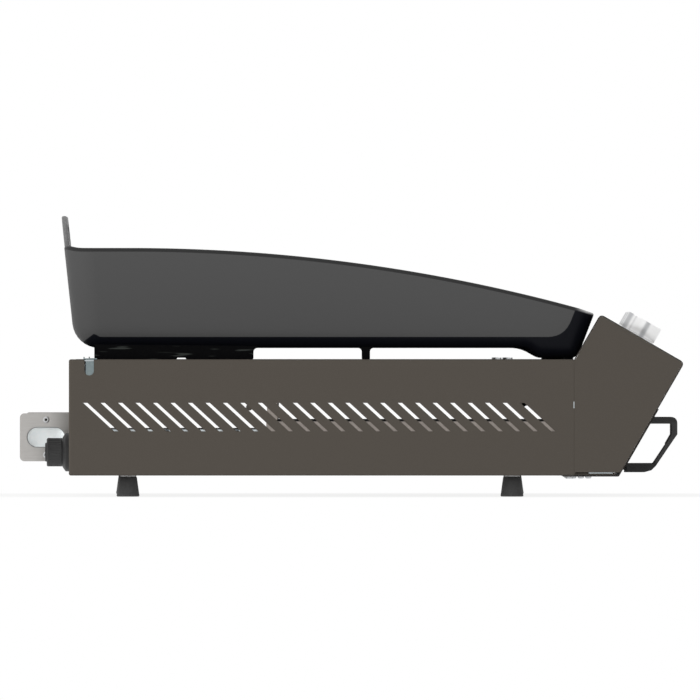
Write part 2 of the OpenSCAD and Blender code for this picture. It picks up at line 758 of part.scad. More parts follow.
// Turning plug of a valve, with a bore and a flat for the knob's stem
module valve_plug(i) {
    color(brass) on_panel(i * burner_pitch) difference() {
        translate([0, 0, plug_low]) cylinder(r = plug_r, h = plug_top - plug_low);
        difference() {
            translate([0, 0, stem_low - knob_push - 1]) cylinder(r = stem_r + fit, h = 40);
            translate([stem_r - 0.6 + fit, -5, plug_low]) cube([5, 10, 60]);
        }
        translate([0, 0, -22]) rotate([90, 0, 0]) cylinder(r = 1.5, h = 2 * plug_r);
    }
}
// Knob with its stem, which has a flat
module knob(i) {
    r = knob_d / 2;
    low = bezel_h + 0.2;
    color([0.86, 0.86, 0.86]) on_panel(i * burner_pitch) {
        rotate_extrude() polygon([[0, low], [r - 0.6, low], [r, low + 0.6], [r, knob_h - 1.4],
                                  [r - 0.4, knob_h - 0.4], [r - 1.4, knob_h], [0, knob_h]]);
        difference() {
            translate([0, 0, stem_low]) cylinder(r = stem_r, h = low - stem_low + 1);
            translate([stem_r - 0.6, -5, stem_low - 1]) cube([5, 10, plug_top - stem_low + knob_push + 1.5]);
        }
    }
}
module knob_bezel(i) {
    r = bezel_d / 2;
    bore = knob_d / 2 + 1;
    color([0.86, 0.86, 0.86]) on_panel(i * burner_pitch) rotate_extrude()
        polygon([[bore, 0], [r, 0], [r, 1.2], [r - 1, 2.2], [bore + 3, bezel_h], [bore, bezel_h]]);
}
// Brass orifice in each valve's outlet, its tip inside the burner's mouth
module gas_orifices() {
    color(brass) for (i = sides) translate([i * burner_pitch, outlet_y, burner_z]) rotate([-90, 0, 0]) {
        translate([0, 0, 5]) cylinder(r = 3, h = 10);
        translate([0, 0, 14]) cylinder(r = 6, h = 4, $fn = 6);
        translate([0, 0, 18]) cylinder(r = 4, h = burner_front_y + 4 - outlet_y - 18);
    }
}
module gas_manifold() {
    color(zinc) manifold_core();
}
// Supply pipe from the manifold, back along the left side, across the rear and down to the inlet
module supply_pipe() {
    r = supply_d / 2;
    start = manifold_y + manifold_d / 2 - 1.5;
    color(zinc) difference() {
        union() {
            translate([supply_x, 0, manifold_z]) pipe_along(r, start, supply_rear_y);
            translate([supply_x, supply_rear_y, manifold_z]) sphere(r);
            translate([supply_x, supply_rear_y, manifold_z]) rotate([0, 90, 0])
                cylinder(r = r, h = inlet_x - supply_x);
            translate([inlet_x, supply_rear_y, manifold_z]) sphere(r);
            translate([inlet_x, supply_rear_y, inlet_z]) cylinder(r = r, h = manifold_z - inlet_z);
            translate([inlet_x, supply_rear_y, inlet_z]) sphere(r);
            translate([inlet_x, supply_rear_y, inlet_z]) rotate([-90, 0, 0]) cylinder(r = r, h = 5);
        }
        manifold_core();
    }
}
// Brass inlet: a hexagon against the rear panel and a thread for the hose
module gas_inlet() {
    color(brass) translate([inlet_x, 0, inlet_z]) difference() {
        union() {
            pipe_along(inlet_r, supply_rear_y + 5, rear_y + 31);
            translate([0, rear_y - sheet_t, 0]) rotate([-90, 0, 0]) cylinder(r = 11.5, h = 8, $fn = 6);
        }
        pipe_along(4, rear_y + 5, rear_y + 40);
    }
}

// Ignition

flange_h = 4;
neck_r = 12;
cell_r = 7.25;
cap_seat_y = rear_y + 6.8;
neck_end_y = rear_y + 17.5;
cap_end_y = rear_y + 22.3;
cap_wall = 1.3;
button_r = 9.5;
cell_len = 50.5;
cell_end = rear_y - module_len + 5;

module igniter_housing() {
    color(black_plastic) translate([igniter_x, 0, igniter_z]) difference() {
        union() {
            pipe_along(igniter_r, rear_y - module_len, rear_y);
            pipe_along(igniter_flange_d / 2, rear_y - sheet_t, rear_y + flange_h);
            translate([0, rear_y + flange_h, 0]) rotate([-90, 0, 0])
                cylinder(r1 = igniter_flange_d / 2 - 0.6, r2 = cap_d / 2, h = cap_seat_y - rear_y - flange_h);
            pipe_along(neck_r, rear_y, neck_end_y);
        }
        pipe_along(cell_r + 0.25, cell_end, neck_end_y + cut);
    }
}
module igniter_battery() {
    start = cell_end + seat;
    color(steel) translate([igniter_x, 0, igniter_z]) {
        pipe_along(cell_r, start, start + cell_len - 1);
        pipe_along(2.7, start, start + cell_len);
    }
}
// Battery cap, open where it goes over the housing's neck
module igniter_cap() {
    color(black_plastic) translate([igniter_x, 0, igniter_z]) difference() {
        translate([0, cap_seat_y, 0]) rotate([-90, 0, 0]) rotate_extrude()
            polygon([[0, 0.1], [cap_d / 2, 0.1], [cap_d / 2, cap_end_y - cap_seat_y - 1],
                     [cap_d / 2 - 1, cap_end_y - cap_seat_y], [0, cap_end_y - cap_seat_y]]);
        pipe_along(neck_r + seat, cap_seat_y - cut, cap_end_y - cap_wall);
        pipe_along(button_r + 0.2, cap_seat_y, cap_end_y + cut);
    }
}
module igniter_button() {
    inner_end = cap_end_y - cap_wall - seat;
    color(black_plastic) translate([igniter_x, 0, igniter_z]) {
        pipe_along(neck_r - 1, inner_end - 1.2, inner_end);
        pipe_along(button_r, inner_end - 1.2, cap_end_y + 1.7);
    }
}

electrode_x = burner_r + 5.5;
electrode_r = 3;
lead_r = 1.3;
electrode_z = bar_top_z + electrode_r;
electrode_start_y = bar_middle_y - 8;
electrode_end_y = electrode_start_y + 41;
// Ceramic electrode beside each burner, lying on the middle crossbar, with a wire tip
module ignition_electrodes() {
    for (i = sides) translate([i * burner_pitch + electrode_x, 0, electrode_z]) {
        color("white") pipe_along(electrode_r, electrode_start_y, electrode_end_y);
        color(steel) pipe_along(0.8, electrode_start_y - 12, electrode_start_y + 1);
    }
}
// One insulated lead from each electrode to the ignition module
module ignition_leads() {
    spacing = 4;
    drop_y = rear_y - 12;
    for (k = [0 : 2]) {
        x = sides[k] * burner_pitch + electrode_x;
        run_y = drop_y - 6.5 - spacing * k;
        drop_x = igniter_x + spacing * (k - 1);
        color("black") {
            translate([x, 0, electrode_z]) pipe_along(lead_r, electrode_end_y, run_y);
            translate([x, run_y, electrode_z]) sphere(lead_r, $fn = 24);
            translate([drop_x, run_y, electrode_z]) rotate([0, 90, 0]) cylinder(r = lead_r, h = x - drop_x);
            translate([drop_x, run_y, electrode_z]) sphere(lead_r, $fn = 24);
            translate([drop_x, 0, electrode_z]) pipe_along(lead_r, run_y, drop_y);
            translate([drop_x, drop_y, electrode_z]) sphere(lead_r, $fn = 24);
            difference() {
                translate([drop_x, drop_y, igniter_z]) cylinder(r = lead_r, h = electrode_z - igniter_z);
                translate([igniter_x, 0, igniter_z])
                    pipe_along(igniter_r, rear_y - module_len, rear_y - sheet_t);
            }
        }
    }
}

// Grease drawer

rim_tray_z = slot_low_z + tray_over;
tray_low_z = rim_tray_z - tray_h;
tray_rear_y = rear_y - tray_rear;
rail_w = 10;
tray_half = drawer_w / 2 - 1 - rail_w;
flange_t = 1.2;
runner_drop = 20;

// Runner on a side panel: an angle whose shelf carries the tray's rim
module drawer_runner(side) {
    x_in = side * (tray_half + seat);
    y0 = seam_y + 2 * sheet_t + 1;
    y1 = tray_rear_y + 1;
    z = rim_tray_z - flange_t - sheet_t;
    color(steel) {
        block([min(side * inner_x, x_in), y0, z], [max(side * inner_x, x_in), y1, z + sheet_t]);
        block([min(side * inner_x, side * hanger_x), y0, z - runner_drop],
              [max(side * inner_x, side * hanger_x), y1, z + sheet_t]);
    }
}
// Section of the tray along its depth, t inside its outer surface, with a sloping front wall
module tray_section(t) {
    low = tray_low_z + t;
    wall = (sheet_t + t) / cos(panel_slope);
    over = t > 0 ? 1 : 0;
    polygon([[tray_rear_y - t, rim_tray_z + over], [tray_rear_y - t, low], [face_y(low) + wall, low],
             [face_y(rim_tray_z + over) + wall, rim_tray_z + over]]);
}
// Tray with a rim along each side and an apron that is screwed to the drawer's front
module grease_tray() {
    apron = 18;
    color([0.1, 0.1, 0.1]) difference() {
        union() {
            across(2 * tray_half) tray_section(0);
            for (side = [-1, 1]) block([min(side * (tray_half - 1), side * (tray_half + rail_w)),
                                        face_y(rim_tray_z) + 6, rim_tray_z - flange_t],
                                       [max(side * (tray_half - 1), side * (tray_half + rail_w)),
                                        tray_rear_y, rim_tray_z]);
            on_front(0, tray_low_z) translate([-handle_w / 2 - 10, -apron, -2 * sheet_t])
                cube([handle_w + 20, apron + 4, sheet_t]);
        }
        across(2 * (tray_half - sheet_t)) tray_section(sheet_t);
        drawer_screw_places() translate([0, 0, -4]) cylinder(r = drawer_screw_r + fit, h = 6);
    }
}
// Sloping front of the drawer, level with the fascia
module drawer_front() {
    color(sheet_paint) difference() {
        on_front(0, drawer_mid_z) translate([-drawer_w / 2, -drawer_front_len / 2, -sheet_t])
            cube([drawer_w, drawer_front_len, sheet_t]);
        drawer_screw_places() translate([0, 0, -4]) cylinder(r = drawer_screw_r + fit, h = 6);
    }
}
drawer_screw_r = 1.6;
drawer_nut_r = 3;
handle_up = 23;
handle_top_z = drawer_mid_z + handle_up;
arm_t = 6.6;
handle_low_z = handle_top_z - handle_h;
low_arm_t = 8.5;
// Heights of the screws through the handle's top and low arms
upper_screw_z = handle_top_z - 2;
lower_screw_z = handle_low_z + low_arm_t - 1.6;
// Places of the two screws at each end of the handle, square to the drawer's front
module drawer_screw_places() {
    for (side = [-1, 1]) for (z = [upper_screw_z, lower_screw_z])
        on_front(side * (handle_w - handle_end) / 2, z) children();
}
module drawer_screws() {
    color(steel) for (side = [-1, 1]) {
        on_front(side * (handle_w - handle_end) / 2, upper_screw_z) drawer_screw(drawer_nut_r - 0.8, sheet_t);
        on_front(side * (handle_w - handle_end) / 2, lower_screw_z) drawer_screw(drawer_nut_r, 2 * sheet_t);
    }
}
// Screw whose head of radius r lies behind sheets of thickness t
module drawer_screw(r, t) {
    translate([0, 0, -t - 2]) cylinder(r = r, h = 2);
    translate([0, 0, -t - 1]) cylinder(r = drawer_screw_r, h = t + 6);
}
handle_r = 4;
knee_drop = 17.8;
// Side view of the handle: a level arm, an upright grip and a leg that thins as it slopes back to the low arm
module handle_section() {
    out = face_y(handle_top_z) - handle_reach;
    in = out + handle_t;
    top_in = handle_top_z - arm_t;
    low_in = handle_low_z + low_arm_t;
    knee_z = handle_top_z - knee_drop;
    low_reach = 16.9;
    foot_y = face_y(low_in) - low_reach;
    heel = face_y(low_in) + 0.6;
    polygon(concat([[face_y(handle_top_z), handle_top_z]],
        arc([out + handle_r, handle_top_z - handle_r], handle_r, 90, 180),
        [[out, knee_z], [out + 1.4, knee_z - 2], [foot_y - 11.5, handle_low_z + 6.2],
         [foot_y - 7, handle_low_z + 1.9], [foot_y, handle_low_z], [heel, handle_low_z], [heel, low_in - 1.05],
         [face_y(low_in), low_in], [foot_y - 10.7, low_in], [in, knee_z + 0.2], [in, top_in],
         [face_y(top_in), top_in]]));
}
// Side view of the bar that the hand takes, between the end loops
module grip_section() {
    out = face_y(handle_top_z) - handle_reach;
    in = out + handle_t;
    knee_z = handle_top_z - knee_drop;
    low = knee_z - 10.2;
    polygon(concat([[in, handle_top_z]], arc([out + handle_r, handle_top_z - handle_r], handle_r, 90, 180),
        [[out, knee_z], [out + 1.4, knee_z - 2], [out + 7.5, low], [in + 5.9, low], [in, knee_z + 0.2]]));
}
module drawer_handle() {
    color(black_plastic) difference() {
        union() {
            for (side = [-1, 1]) across(handle_end, side * (handle_w - handle_end) / 2) handle_section();
            across(handle_w - handle_end) grip_section();
        }
        drawer_screw_places() translate([0, 0, -1]) cylinder(r = drawer_screw_r + fit, h = 7);
    }
}

// Rear lugs

lug_up = 14.1;
lug_low_z = base_z + lug_up;
lug_mid_z = lug_low_z + lug_h / 2;
lug_corner = 4.5;
lug_flange_w = 18;
rivet_r = 2.4;
rivet_up = 17.6;
rivet_in = 26.3;
rivet_y = rear_y + lug_reach - rivet_in;
base_rivet_in = 9;
cup_wall = 0.8;

module stadium(l, h) {
    for (s = [-1, 1]) translate([s * (l - h) / 2, 0]) circle(d = h);
    translate([-(l - h) / 2, -h / 2]) square([l - h, h]);
}
// Places of the two rivets through a lug's base flange and the rear panel
module lug_rivet_place(side, i, y) {
    translate([side * (lug_x - lug_t - base_rivet_in), y, lug_mid_z + (i - 0.5) * 2 * rivet_up])
        rotate([90, 0, 0]) children();
}
// Steel lug: a plate that stands out behind the body, with a flange on the rear panel and a window
module rear_lug(side) {
    outer = side * lug_x;
    inner = side * (lug_x - lug_t);
    end_y = rear_y + lug_reach;
    start_y = rear_y - sheet_t;
    flange_x = side * (lug_x - lug_flange_w);
    color(steel) difference() {
        union() {
            across(lug_t, (outer + inner) / 2) difference() {
                polygon(concat([[start_y, lug_low_z]],
                               arc([end_y - lug_corner, lug_low_z + lug_corner], lug_corner, -90, 0),
                               arc([end_y - lug_corner, lug_low_z + lug_h - lug_corner], lug_corner, 0, 90),
                               [[start_y, lug_low_z + lug_h]]));
                translate([rivet_y, lug_mid_z]) stadium(cup_len, cup_h);
                for (s = [-1, 1]) translate([rivet_y, lug_mid_z + s * rivet_up]) circle(r = rivet_r + fit);
            }
            block([min(outer, flange_x), start_y, lug_low_z],
                  [max(outer, flange_x), start_y + lug_t, lug_low_z + lug_h]);
        }
        for (i = [0 : 1]) lug_rivet_place(side, i, rear_y + 6) cylinder(r = rivet_r + fit, h = 12);
    }
}
// Zinc cup pressed from a plate that is riveted behind the lug's window
module lug_cup(side) {
    back = side * (lug_x - lug_t);
    s = -side;
    color(zinc) difference() {
        union() {
            across(cup_wall, back + s * cup_wall / 2) translate([rivet_y, lug_mid_z])
                square([cup_len + 3, lug_h - 4], center = true);
            across(cup_depth, back + s * cup_depth / 2) translate([rivet_y, lug_mid_z])
                stadium(cup_len, cup_h);
        }
        across(cup_depth, back + s * (cup_depth / 2 - cup_wall)) translate([rivet_y, lug_mid_z])
            stadium(cup_len - 2 * cup_wall, cup_h - 2 * cup_wall);
        for (k = [-1, 1]) across(4, back) translate([rivet_y, lug_mid_z + k * rivet_up])
            circle(r = rivet_r + fit);
    }
}
// Blind rivets of both lugs, each with a hole down its middle
module lug_rivets() {
    color(steel) for (side = [-1, 1]) {
        for (k = [-1, 1]) translate([side * lug_x, rivet_y, lug_mid_z + k * rivet_up])
            rotate([0, side * 90, 0]) rivet(3.5);
        for (i = [0 : 1]) lug_rivet_place(side, i, rear_y - sheet_t + lug_t) mirror([0, 0, 1]) rivet(3.5);
    }
}
module rivet(grip_len) {
    translate([0, 0, -grip_len]) rotate_extrude()
        polygon([[1.5, 0], [rivet_r, 0], [rivet_r, grip_len], [3.3, grip_len], [3.3, grip_len + 0.5],
                 [2.6, grip_len + 1], [1.5, grip_len + 1]]);
}

side_panel(-1);  // side_panel_left
side_panel(1);  // side_panel_right
rear_panel();
base_panel();
heat_shield();
firewall();
control_side(-1);  // control_side_left
control_side(1);  // control_side_right
control_fascia();
foot(-foot_x, foot_ys[0]);  // foot_front_left
foot(foot_x, foot_ys[0]);  // foot_front_right
foot(-foot_x, foot_ys[1]);  // foot_rear_left
foot(foot_x, foot_ys[1]);  // foot_rear_right
foot_screws();
crossbar_front();
crossbar_middle();
burner_shelf();
pan_locator(-1);  // pan_locator_left
pan_locator(1);  // pan_locator_right
griddle_pan();
burner(-burner_pitch);  // burner_left
burner(0);  // burner_center
burner(burner_pitch);  // burner_right
valve(-1);  // valve_left
valve(0);  // valve_center
valve(1);  // valve_right
valve_plug(-1);  // valve_plug_left
valve_plug(0);  // valve_plug_center
valve_plug(1);  // valve_plug_right
knob(-1);  // knob_left
knob(0);  // knob_center
knob(1);  // knob_right
knob_bezel(-1);  // knob_bezel_left
knob_bezel(0);  // knob_bezel_center
knob_bezel(1);  // knob_bezel_right
gas_orifices();
gas_manifold();
supply_pipe();
gas_inlet();
igniter_housing();
igniter_cap();
igniter_button();
igniter_battery();
ignition_electrodes();
ignition_leads();
drawer_runner(-1);  // drawer_runner_left
drawer_runner(1);  // drawer_runner_right
grease_tray();
drawer_front();
drawer_handle();
drawer_screws();
rear_lug(-1);  // rear_lug_left
rear_lug(1);  // rear_lug_right
lug_cup(-1);  // lug_cup_left
lug_cup(1);  // lug_cup_right
lug_rivets();
base_screws();
flange_screws();
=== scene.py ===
"""Looks of the table-top gas griddle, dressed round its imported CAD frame.

Lengths are metres. The user stands at -Y, X is the width and Z is 0 under the feet, as in the frame.
Each shape is a grid of points worked out with numpy from two parameters, and each finish is procedural.
"""

import math

import bmesh
import bpy
import numpy as np
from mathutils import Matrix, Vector

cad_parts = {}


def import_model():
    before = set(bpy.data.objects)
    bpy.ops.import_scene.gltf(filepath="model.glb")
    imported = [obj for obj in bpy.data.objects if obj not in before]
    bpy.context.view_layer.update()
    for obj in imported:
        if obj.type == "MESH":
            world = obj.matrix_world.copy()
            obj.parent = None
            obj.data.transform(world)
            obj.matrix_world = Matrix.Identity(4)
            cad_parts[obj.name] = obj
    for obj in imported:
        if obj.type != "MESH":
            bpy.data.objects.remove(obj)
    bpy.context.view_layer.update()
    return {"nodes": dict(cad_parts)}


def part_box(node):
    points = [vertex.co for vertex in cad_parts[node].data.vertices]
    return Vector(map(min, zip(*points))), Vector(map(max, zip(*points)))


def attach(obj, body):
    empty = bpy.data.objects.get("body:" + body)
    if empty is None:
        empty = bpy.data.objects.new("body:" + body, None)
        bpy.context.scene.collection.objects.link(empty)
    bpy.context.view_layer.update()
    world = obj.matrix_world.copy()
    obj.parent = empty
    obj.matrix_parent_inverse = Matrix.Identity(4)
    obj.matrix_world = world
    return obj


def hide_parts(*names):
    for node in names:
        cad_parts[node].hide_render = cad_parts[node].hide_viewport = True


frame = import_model()
nodes = frame["nodes"]
MM = 0.001


def span(node, axis):
    """Lowest and highest place of a CAD node along an axis, 0 for X, 1 for Y and 2 for Z."""
    low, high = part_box(node)
    return low[axis], high[axis]


# Levels and places that the frame gives
seam_y, rear_y = span("side_panel_left", 1)
base_z, top_z = span("side_panel_left", 2)
half_w = span("side_panel_right", 0)[1]
SHEET = 1 * MM
SLOPE = math.radians(30)


# Grids and meshes


def grid_faces(rows, cols, close_rows=False, close_cols=False):
    """Quads between neighbouring points of a grid that is numbered row by row."""
    r, c = np.mgrid[: rows if close_rows else rows - 1, : cols if close_cols else cols - 1]
    r2, c2 = (r + 1) % rows, (c + 1) % cols
    return np.stack([r * cols + c, r * cols + c2, r2 * cols + c2, r2 * cols + c], axis=-1)


def tube(points, close_rows=False, caps=False):
    """A surface through a grid whose rows are closed outlines, with flat caps on its ends if asked."""
    rows, cols = points.shape[:2]
    faces = grid_faces(rows, cols, close_rows, True).reshape(-1, 4).tolist()
    if caps:
        ring = np.arange(cols)
        faces += [ring[::-1].tolist(), (ring + (rows - 1) * cols).tolist()]
    return points.reshape(-1, 3), faces


def plate(outer, inner, keep):
    """A thin solid between two like grids, with walls along all edges. Where keep is False a cell is open."""
    rows, cols = outer.shape[:2]
    quads = grid_faces(rows, cols)
    shift = rows * cols
    faces = [quads[keep], quads[keep][:, ::-1] + shift]
    for axis in (0, 1):
        pad = [(1, 1) if a == axis else (0, 0) for a in (0, 1)]
        edge = np.diff(np.pad(keep, pad).astype(int), axis=axis)
        r, c = np.nonzero(edge)
        start = r * cols + c
        end = start + (cols if axis == 1 else 1)
        faces.append(np.stack([start, end, end + shift, start + shift], axis=-1))
    verts = np.concatenate([outer.reshape(-1, 3), inner.reshape(-1, 3)])
    return verts, np.concatenate(faces).tolist()


def arc(centre, radius, start, end, steps):
    """Points on a circle's arc in a plane, from one angle to another in degrees."""
    a = np.radians(np.linspace(start, end, steps + 1))
    return np.asarray(centre) + radius * np.stack([np.cos(a), np.sin(a)], axis=-1)


def outline_normals(points):
    """Outward normals at the corners of a closed outline, so long that each side moves by one."""
    edge = np.roll(points, -1, axis=0) - points
    edge /= np.linalg.norm(edge, axis=1, keepdims=True)
    n = np.stack([edge[:, 1], -edge[:, 0]], axis=-1)
    area = np.sum(points[:, 0] * np.roll(points[:, 1], -1) - points[:, 1] * np.roll(points[:, 0], -1))
    n *= np.sign(area)
    both = n + np.roll(n, 1, axis=0)
    return both / np.maximum(np.sum(both * both, axis=1, keepdims=True) / 2, 0.3)


END_STRIP = 0.2 * MM


def slab(outline, x0, x1, ease, steps=3):
    """A closed outline in Y and Z carried along X, drawn in by a quarter round of radius ease at both ends.

    A narrow strip inside each round keeps the flat end's shading flat.
    """
    normals = outline_normals(outline)
    a = np.linspace(0, math.pi / 2, steps + 1)
    draw = np.concatenate([[ease + END_STRIP], ease * (1 - np.sin(a))])
    along = np.concatenate([[0], ease * (1 - np.cos(a))])
    inset = np.concatenate([draw, draw[::-1]])
    x = np.concatenate([x0 + along, x1 - along[::-1]])
    yz = outline[None] - normals[None] * inset[:, None, None]
    grid = np.concatenate([np.broadcast_to(x[:, None, None], yz.shape[:2] + (1,)), yz], axis=-1)
    return tube(grid, caps=True)


def lathe(profile, origin, axis, up=(1, 0, 0), steps=64, ripple=None):
    """A profile of (radius, height) turned round an axis through origin.

    Ripple adds ribs to the radius: its value at an angle, times the third value of each profile point.
    """
    axis = np.asarray(axis, float) / np.linalg.norm(axis)
    side = np.asarray(up, float) - axis * np.dot(up, axis)
    side /= np.linalg.norm(side)
    other = np.cross(axis, side)
    a = np.linspace(0, 2 * math.pi, steps, endpoint=False)
    profile = np.asarray(profile, float)
    radius = profile[:, :1] + np.zeros(steps)
    if ripple is not None:
        radius = radius + profile[:, 2:3] * ripple(a)
    ring = np.cos(a)[:, None] * side + np.sin(a)[:, None] * other
    grid = np.asarray(origin) + radius[..., None] * ring + profile[:, 1][:, None, None] * axis
    return tube(grid)


# How close doubled points are, and the turn from which an edge stays crisp
DOUBLE = 0.001 * MM
SHARP = math.radians(35)


def merge(mesh, outwards=True):
    """Merges a mesh's doubled points and turns its faces outwards, unless it is flat."""
    work = bmesh.new()
    work.from_mesh(mesh)
    bmesh.ops.remove_doubles(work, verts=work.verts, dist=DOUBLE)
    if outwards:
        bmesh.ops.recalc_face_normals(work, faces=work.faces)
    work.to_mesh(mesh)
    work.free()


def placed(name, data):
    """An object in the scene that shows the given data."""
    obj = bpy.data.objects.new(name, data)
    bpy.context.scene.collection.objects.link(obj)
    return obj


def piece(name, parts, finish, body, *replaced, attributes=None):
    """One mesh object from parts of (points, faces), merged, turned outwards and finished with a material.

    It rides on a body, and takes the place of the CAD nodes that are given.
    """
    verts, faces, count = [], [], 0
    for points, quads in parts:
        verts.append(points)
        faces += [[i + count for i in f] for f in quads]
        count += len(points)
    mesh = bpy.data.meshes.new(name)
    mesh.from_pydata(np.concatenate(verts).tolist(), [], faces)
    for key, values in (attributes or {}).items():
        mesh.attributes.new(key, "FLOAT", "POINT").data.foreach_set("value", values)
    merge(mesh)
    mesh.shade_smooth()
    mesh.set_sharp_from_angle(angle=SHARP)
    obj = placed(name, mesh)
    material, slot = finish
    mesh.materials.append(material)
    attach(obj, body)
    if replaced:
        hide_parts(*replaced)


# Shader nodes and groups shared by the finishes


def fill(tree, sockets, values):
    """Sets each of a node's sockets to a value, or links it to the socket of another node."""
    for key, value in values.items():
        if isinstance(value, bpy.types.NodeSocket):
            tree.links.new(value, sockets[key])
        else:
            sockets[key].default_value = value


def node(tree, kind, inputs=None, **settings):
    """A shader node with its settings, and its inputs set to a value or linked to a socket."""
    made = tree.nodes.new("ShaderNode" + kind)
    for key, value in settings.items():
        setattr(made, key, value)
    fill(tree, made.inputs, inputs or {})
    return made


def object_place(tree):
    """Object coordinates, which are places in the frame, in metres."""
    return node(tree, "TexCoord").outputs["Object"]


def place_along(tree, axis):
    """Place along one axis of the frame: 0 for X, 1 for Y and 2 for Z."""
    return node(tree, "SeparateXYZ", {0: object_place(tree)}).outputs[axis]


def drawn_out(tree, share):
    """Object coordinates with Y scaled by a share, which draws a pattern out along it."""
    inputs = {0: object_place(tree), 1: (1.0, share, 1.0)}
    return node(tree, "VectorMath", inputs, operation="MULTIPLY").outputs[0]


def own_value(tree, name):
    """A value that a piece carries at its points."""
    return node(tree, "Attribute", attribute_name=name).outputs["Fac"]


def ramp(tree, value, low, high, at_low=0.0, at_high=1.0, **settings):
    """Value that goes from at_low to at_high while another goes from low to high."""
    inputs = {"Value": value, 1: low, 2: high, 3: at_low, 4: at_high}
    return node(tree, "MapRange", inputs, **settings).outputs[0]


def mix_colour(tree, mask, first, second):
    """Colour that goes from first to second with a mask."""
    return node(tree, "Mix", {0: mask, 6: first, 7: second}, data_type="RGBA").outputs[2]


def bump(tree, height, depth):
    """Normal of a surface that a height from 0 to 1 raises by a depth in metres."""
    return node(tree, "Bump", {"Strength": 1.0, "Distance": depth, "Height": height}).outputs[0]


def new_group(name, inputs, outputs):
    """A shader node group with float inputs (name, default) and outputs (name, kind).

    With it come the sockets that hold its inputs' values and those that take its outputs.
    """
    group = bpy.data.node_groups.new(name, "ShaderNodeTree")
    for label, default in inputs:
        socket = group.interface.new_socket(name=label, in_out="INPUT", socket_type="NodeSocketFloat")
        socket.default_value = default
    for label, kind in outputs:
        group.interface.new_socket(name=label, in_out="OUTPUT", socket_type="NodeSocket" + kind)
    return group, group.nodes.new("NodeGroupInput").outputs, group.nodes.new("NodeGroupOutput").inputs


def grain_group():
    """Fine uneven value between Low and High, from noise of a given scale on Object coordinates."""
    inputs = [("Scale", 300.0), ("Low", 0.0), ("High", 1.0)]
    group, given, out = new_group("grain", inputs, [("Value", "Float")])
    noise = node(group, "TexNoise", {"Vector": object_place(group), "Scale": given["Scale"], "Detail": 3.0})
    fill(group, out, {"Value": ramp(group, noise.outputs[0], 0.3, 0.7, given["Low"], given["High"])})
    return group


def pebble_group():
    """Normal of a fine sprayed or moulded skin: noise as bump, with a given scale and depth in metres."""
    inputs = [("Scale", 1500.0), ("Depth", 0.02 * MM)]
    group, given, out = new_group("pebble skin", inputs, [("Normal", "Vector")])
    noise = node(group, "TexNoise", {"Vector": object_place(group), "Scale": given["Scale"], "Detail": 2.0})
    fill(group, out, {"Normal": bump(group, noise.outputs[0], given["Depth"])})
    return group


def brushing_group():
    """Lines of a brushed or drawn metal along Y, and their bump: noise squeezed along X and Z."""
    inputs = [("Fineness", 2500.0), ("Depth", 0.01 * MM)]
    group, given, out = new_group("brushed lines", inputs, [("Value", "Float"), ("Normal", "Vector")])
    lines = {"Vector": drawn_out(group, 0.02), "Scale": given["Fineness"], "Detail": 2.0}
    noise = node(group, "TexNoise", lines).outputs[0]
    fill(group, out, {"Value": noise, "Normal": bump(group, noise, given["Depth"])})
    return group


def band_group():
    """Mask that is 1 where a point attribute, a distance in metres, is over an edge, with a soft step."""
    inputs = [("Distance", 0.0), ("Edge", 0.0), ("Softness", 0.3 * MM)]
    group, given, out = new_group("band", inputs, [("Mask", "Float")])
    around = {0: given["Edge"], 1: given["Softness"]}
    low, high = (node(group, "Math", around, operation=kind).outputs[0] for kind in ("SUBTRACT", "ADD"))
    fill(group, out, {"Mask": ramp(group, given["Distance"], low, high, interpolation_type="SMOOTHSTEP")})
    return group


grain = grain_group()
pebble = pebble_group()
brushing = brushing_group()
band = band_group()


def use(tree, group, inputs):
    """A shader group placed in a material with its own values."""
    return node(tree, "Group", inputs, node_tree=group)


def over(tree, distance, edge, softness):
    """Mask that is 1 where a distance is over an edge."""
    return use(tree, band, {"Distance": distance, "Edge": edge, "Softness": softness}).outputs[0]


def grained(tree, scale, low=0.0, high=1.0):
    """Value that changes finely from low to high."""
    return use(tree, grain, {"Scale": scale, "Low": low, "High": high}).outputs[0]


def mottled(tree, scale, first, second):
    """Colour that changes finely from first to second."""
    return mix_colour(tree, grained(tree, scale), first, second)


def shade(red, green, blue):
    """Linear colour of a screen colour given in steps of 255."""
    c = np.array([red, green, blue]) / 255
    linear = np.where(c > 0.04045, ((c + 0.055) / 1.055) ** 2.4, c / 12.92)
    return (*linear.tolist(), 1.0)


def grey(level):
    """Linear colour of a screen grey given in steps of 255."""
    return shade(level, level, level)


def feed(shader, **inputs):
    """Sets or links a shader's inputs, each by its name with _ for a blank."""
    fill(shader.id_data, shader.inputs, {key.replace("_", " "): value for key, value in inputs.items()})


def finish_of(name, colour, roughness, **settings):
    """A material with a Principled shader. Settings are its other inputs by name, with _ for a blank."""
    material = bpy.data.materials.new(name)
    material.use_nodes = True
    shader = material.node_tree.nodes["Principled BSDF"]
    feed(shader, Base_Color=colour, Roughness=roughness, **settings)
    return material, material.node_tree, shader


# How much coarser the grain of a finish's gloss is than that of its colour
GLOSS_GRAIN = 0.37


def uneven(tree, shader, first, second, scale, rough_low, rough_high):
    """Fine change of colour and gloss over a finish."""
    feed(shader, Base_Color=mottled(tree, scale, first, second))
    feed(shader, Roughness=grained(tree, scale * GLOSS_GRAIN, rough_low, rough_high))


def skin(tree, shader, scale, depth):
    """Fine bumps of a sprayed, cast or moulded skin."""
    feed(shader, Normal=use(tree, pebble, {"Scale": scale, "Depth": depth}).outputs[0])


# Finishes, each a material and the name of its slot


BRONZE = shade(78, 73, 67)
BRONZE_TONES = (shade(76, 71, 65), shade(80, 75, 69))
PAINT_GRAIN = 900
PAINT_ROUGH = (0.55, 0.66)
PAINT_SKIN = (2200, 0.012 * MM)
CAST_SKIN = (1400, 0.01 * MM)
PLASTIC_SKIN = (1800, 0.012 * MM)
RUBBER_SKIN = (900, 0.03 * MM)


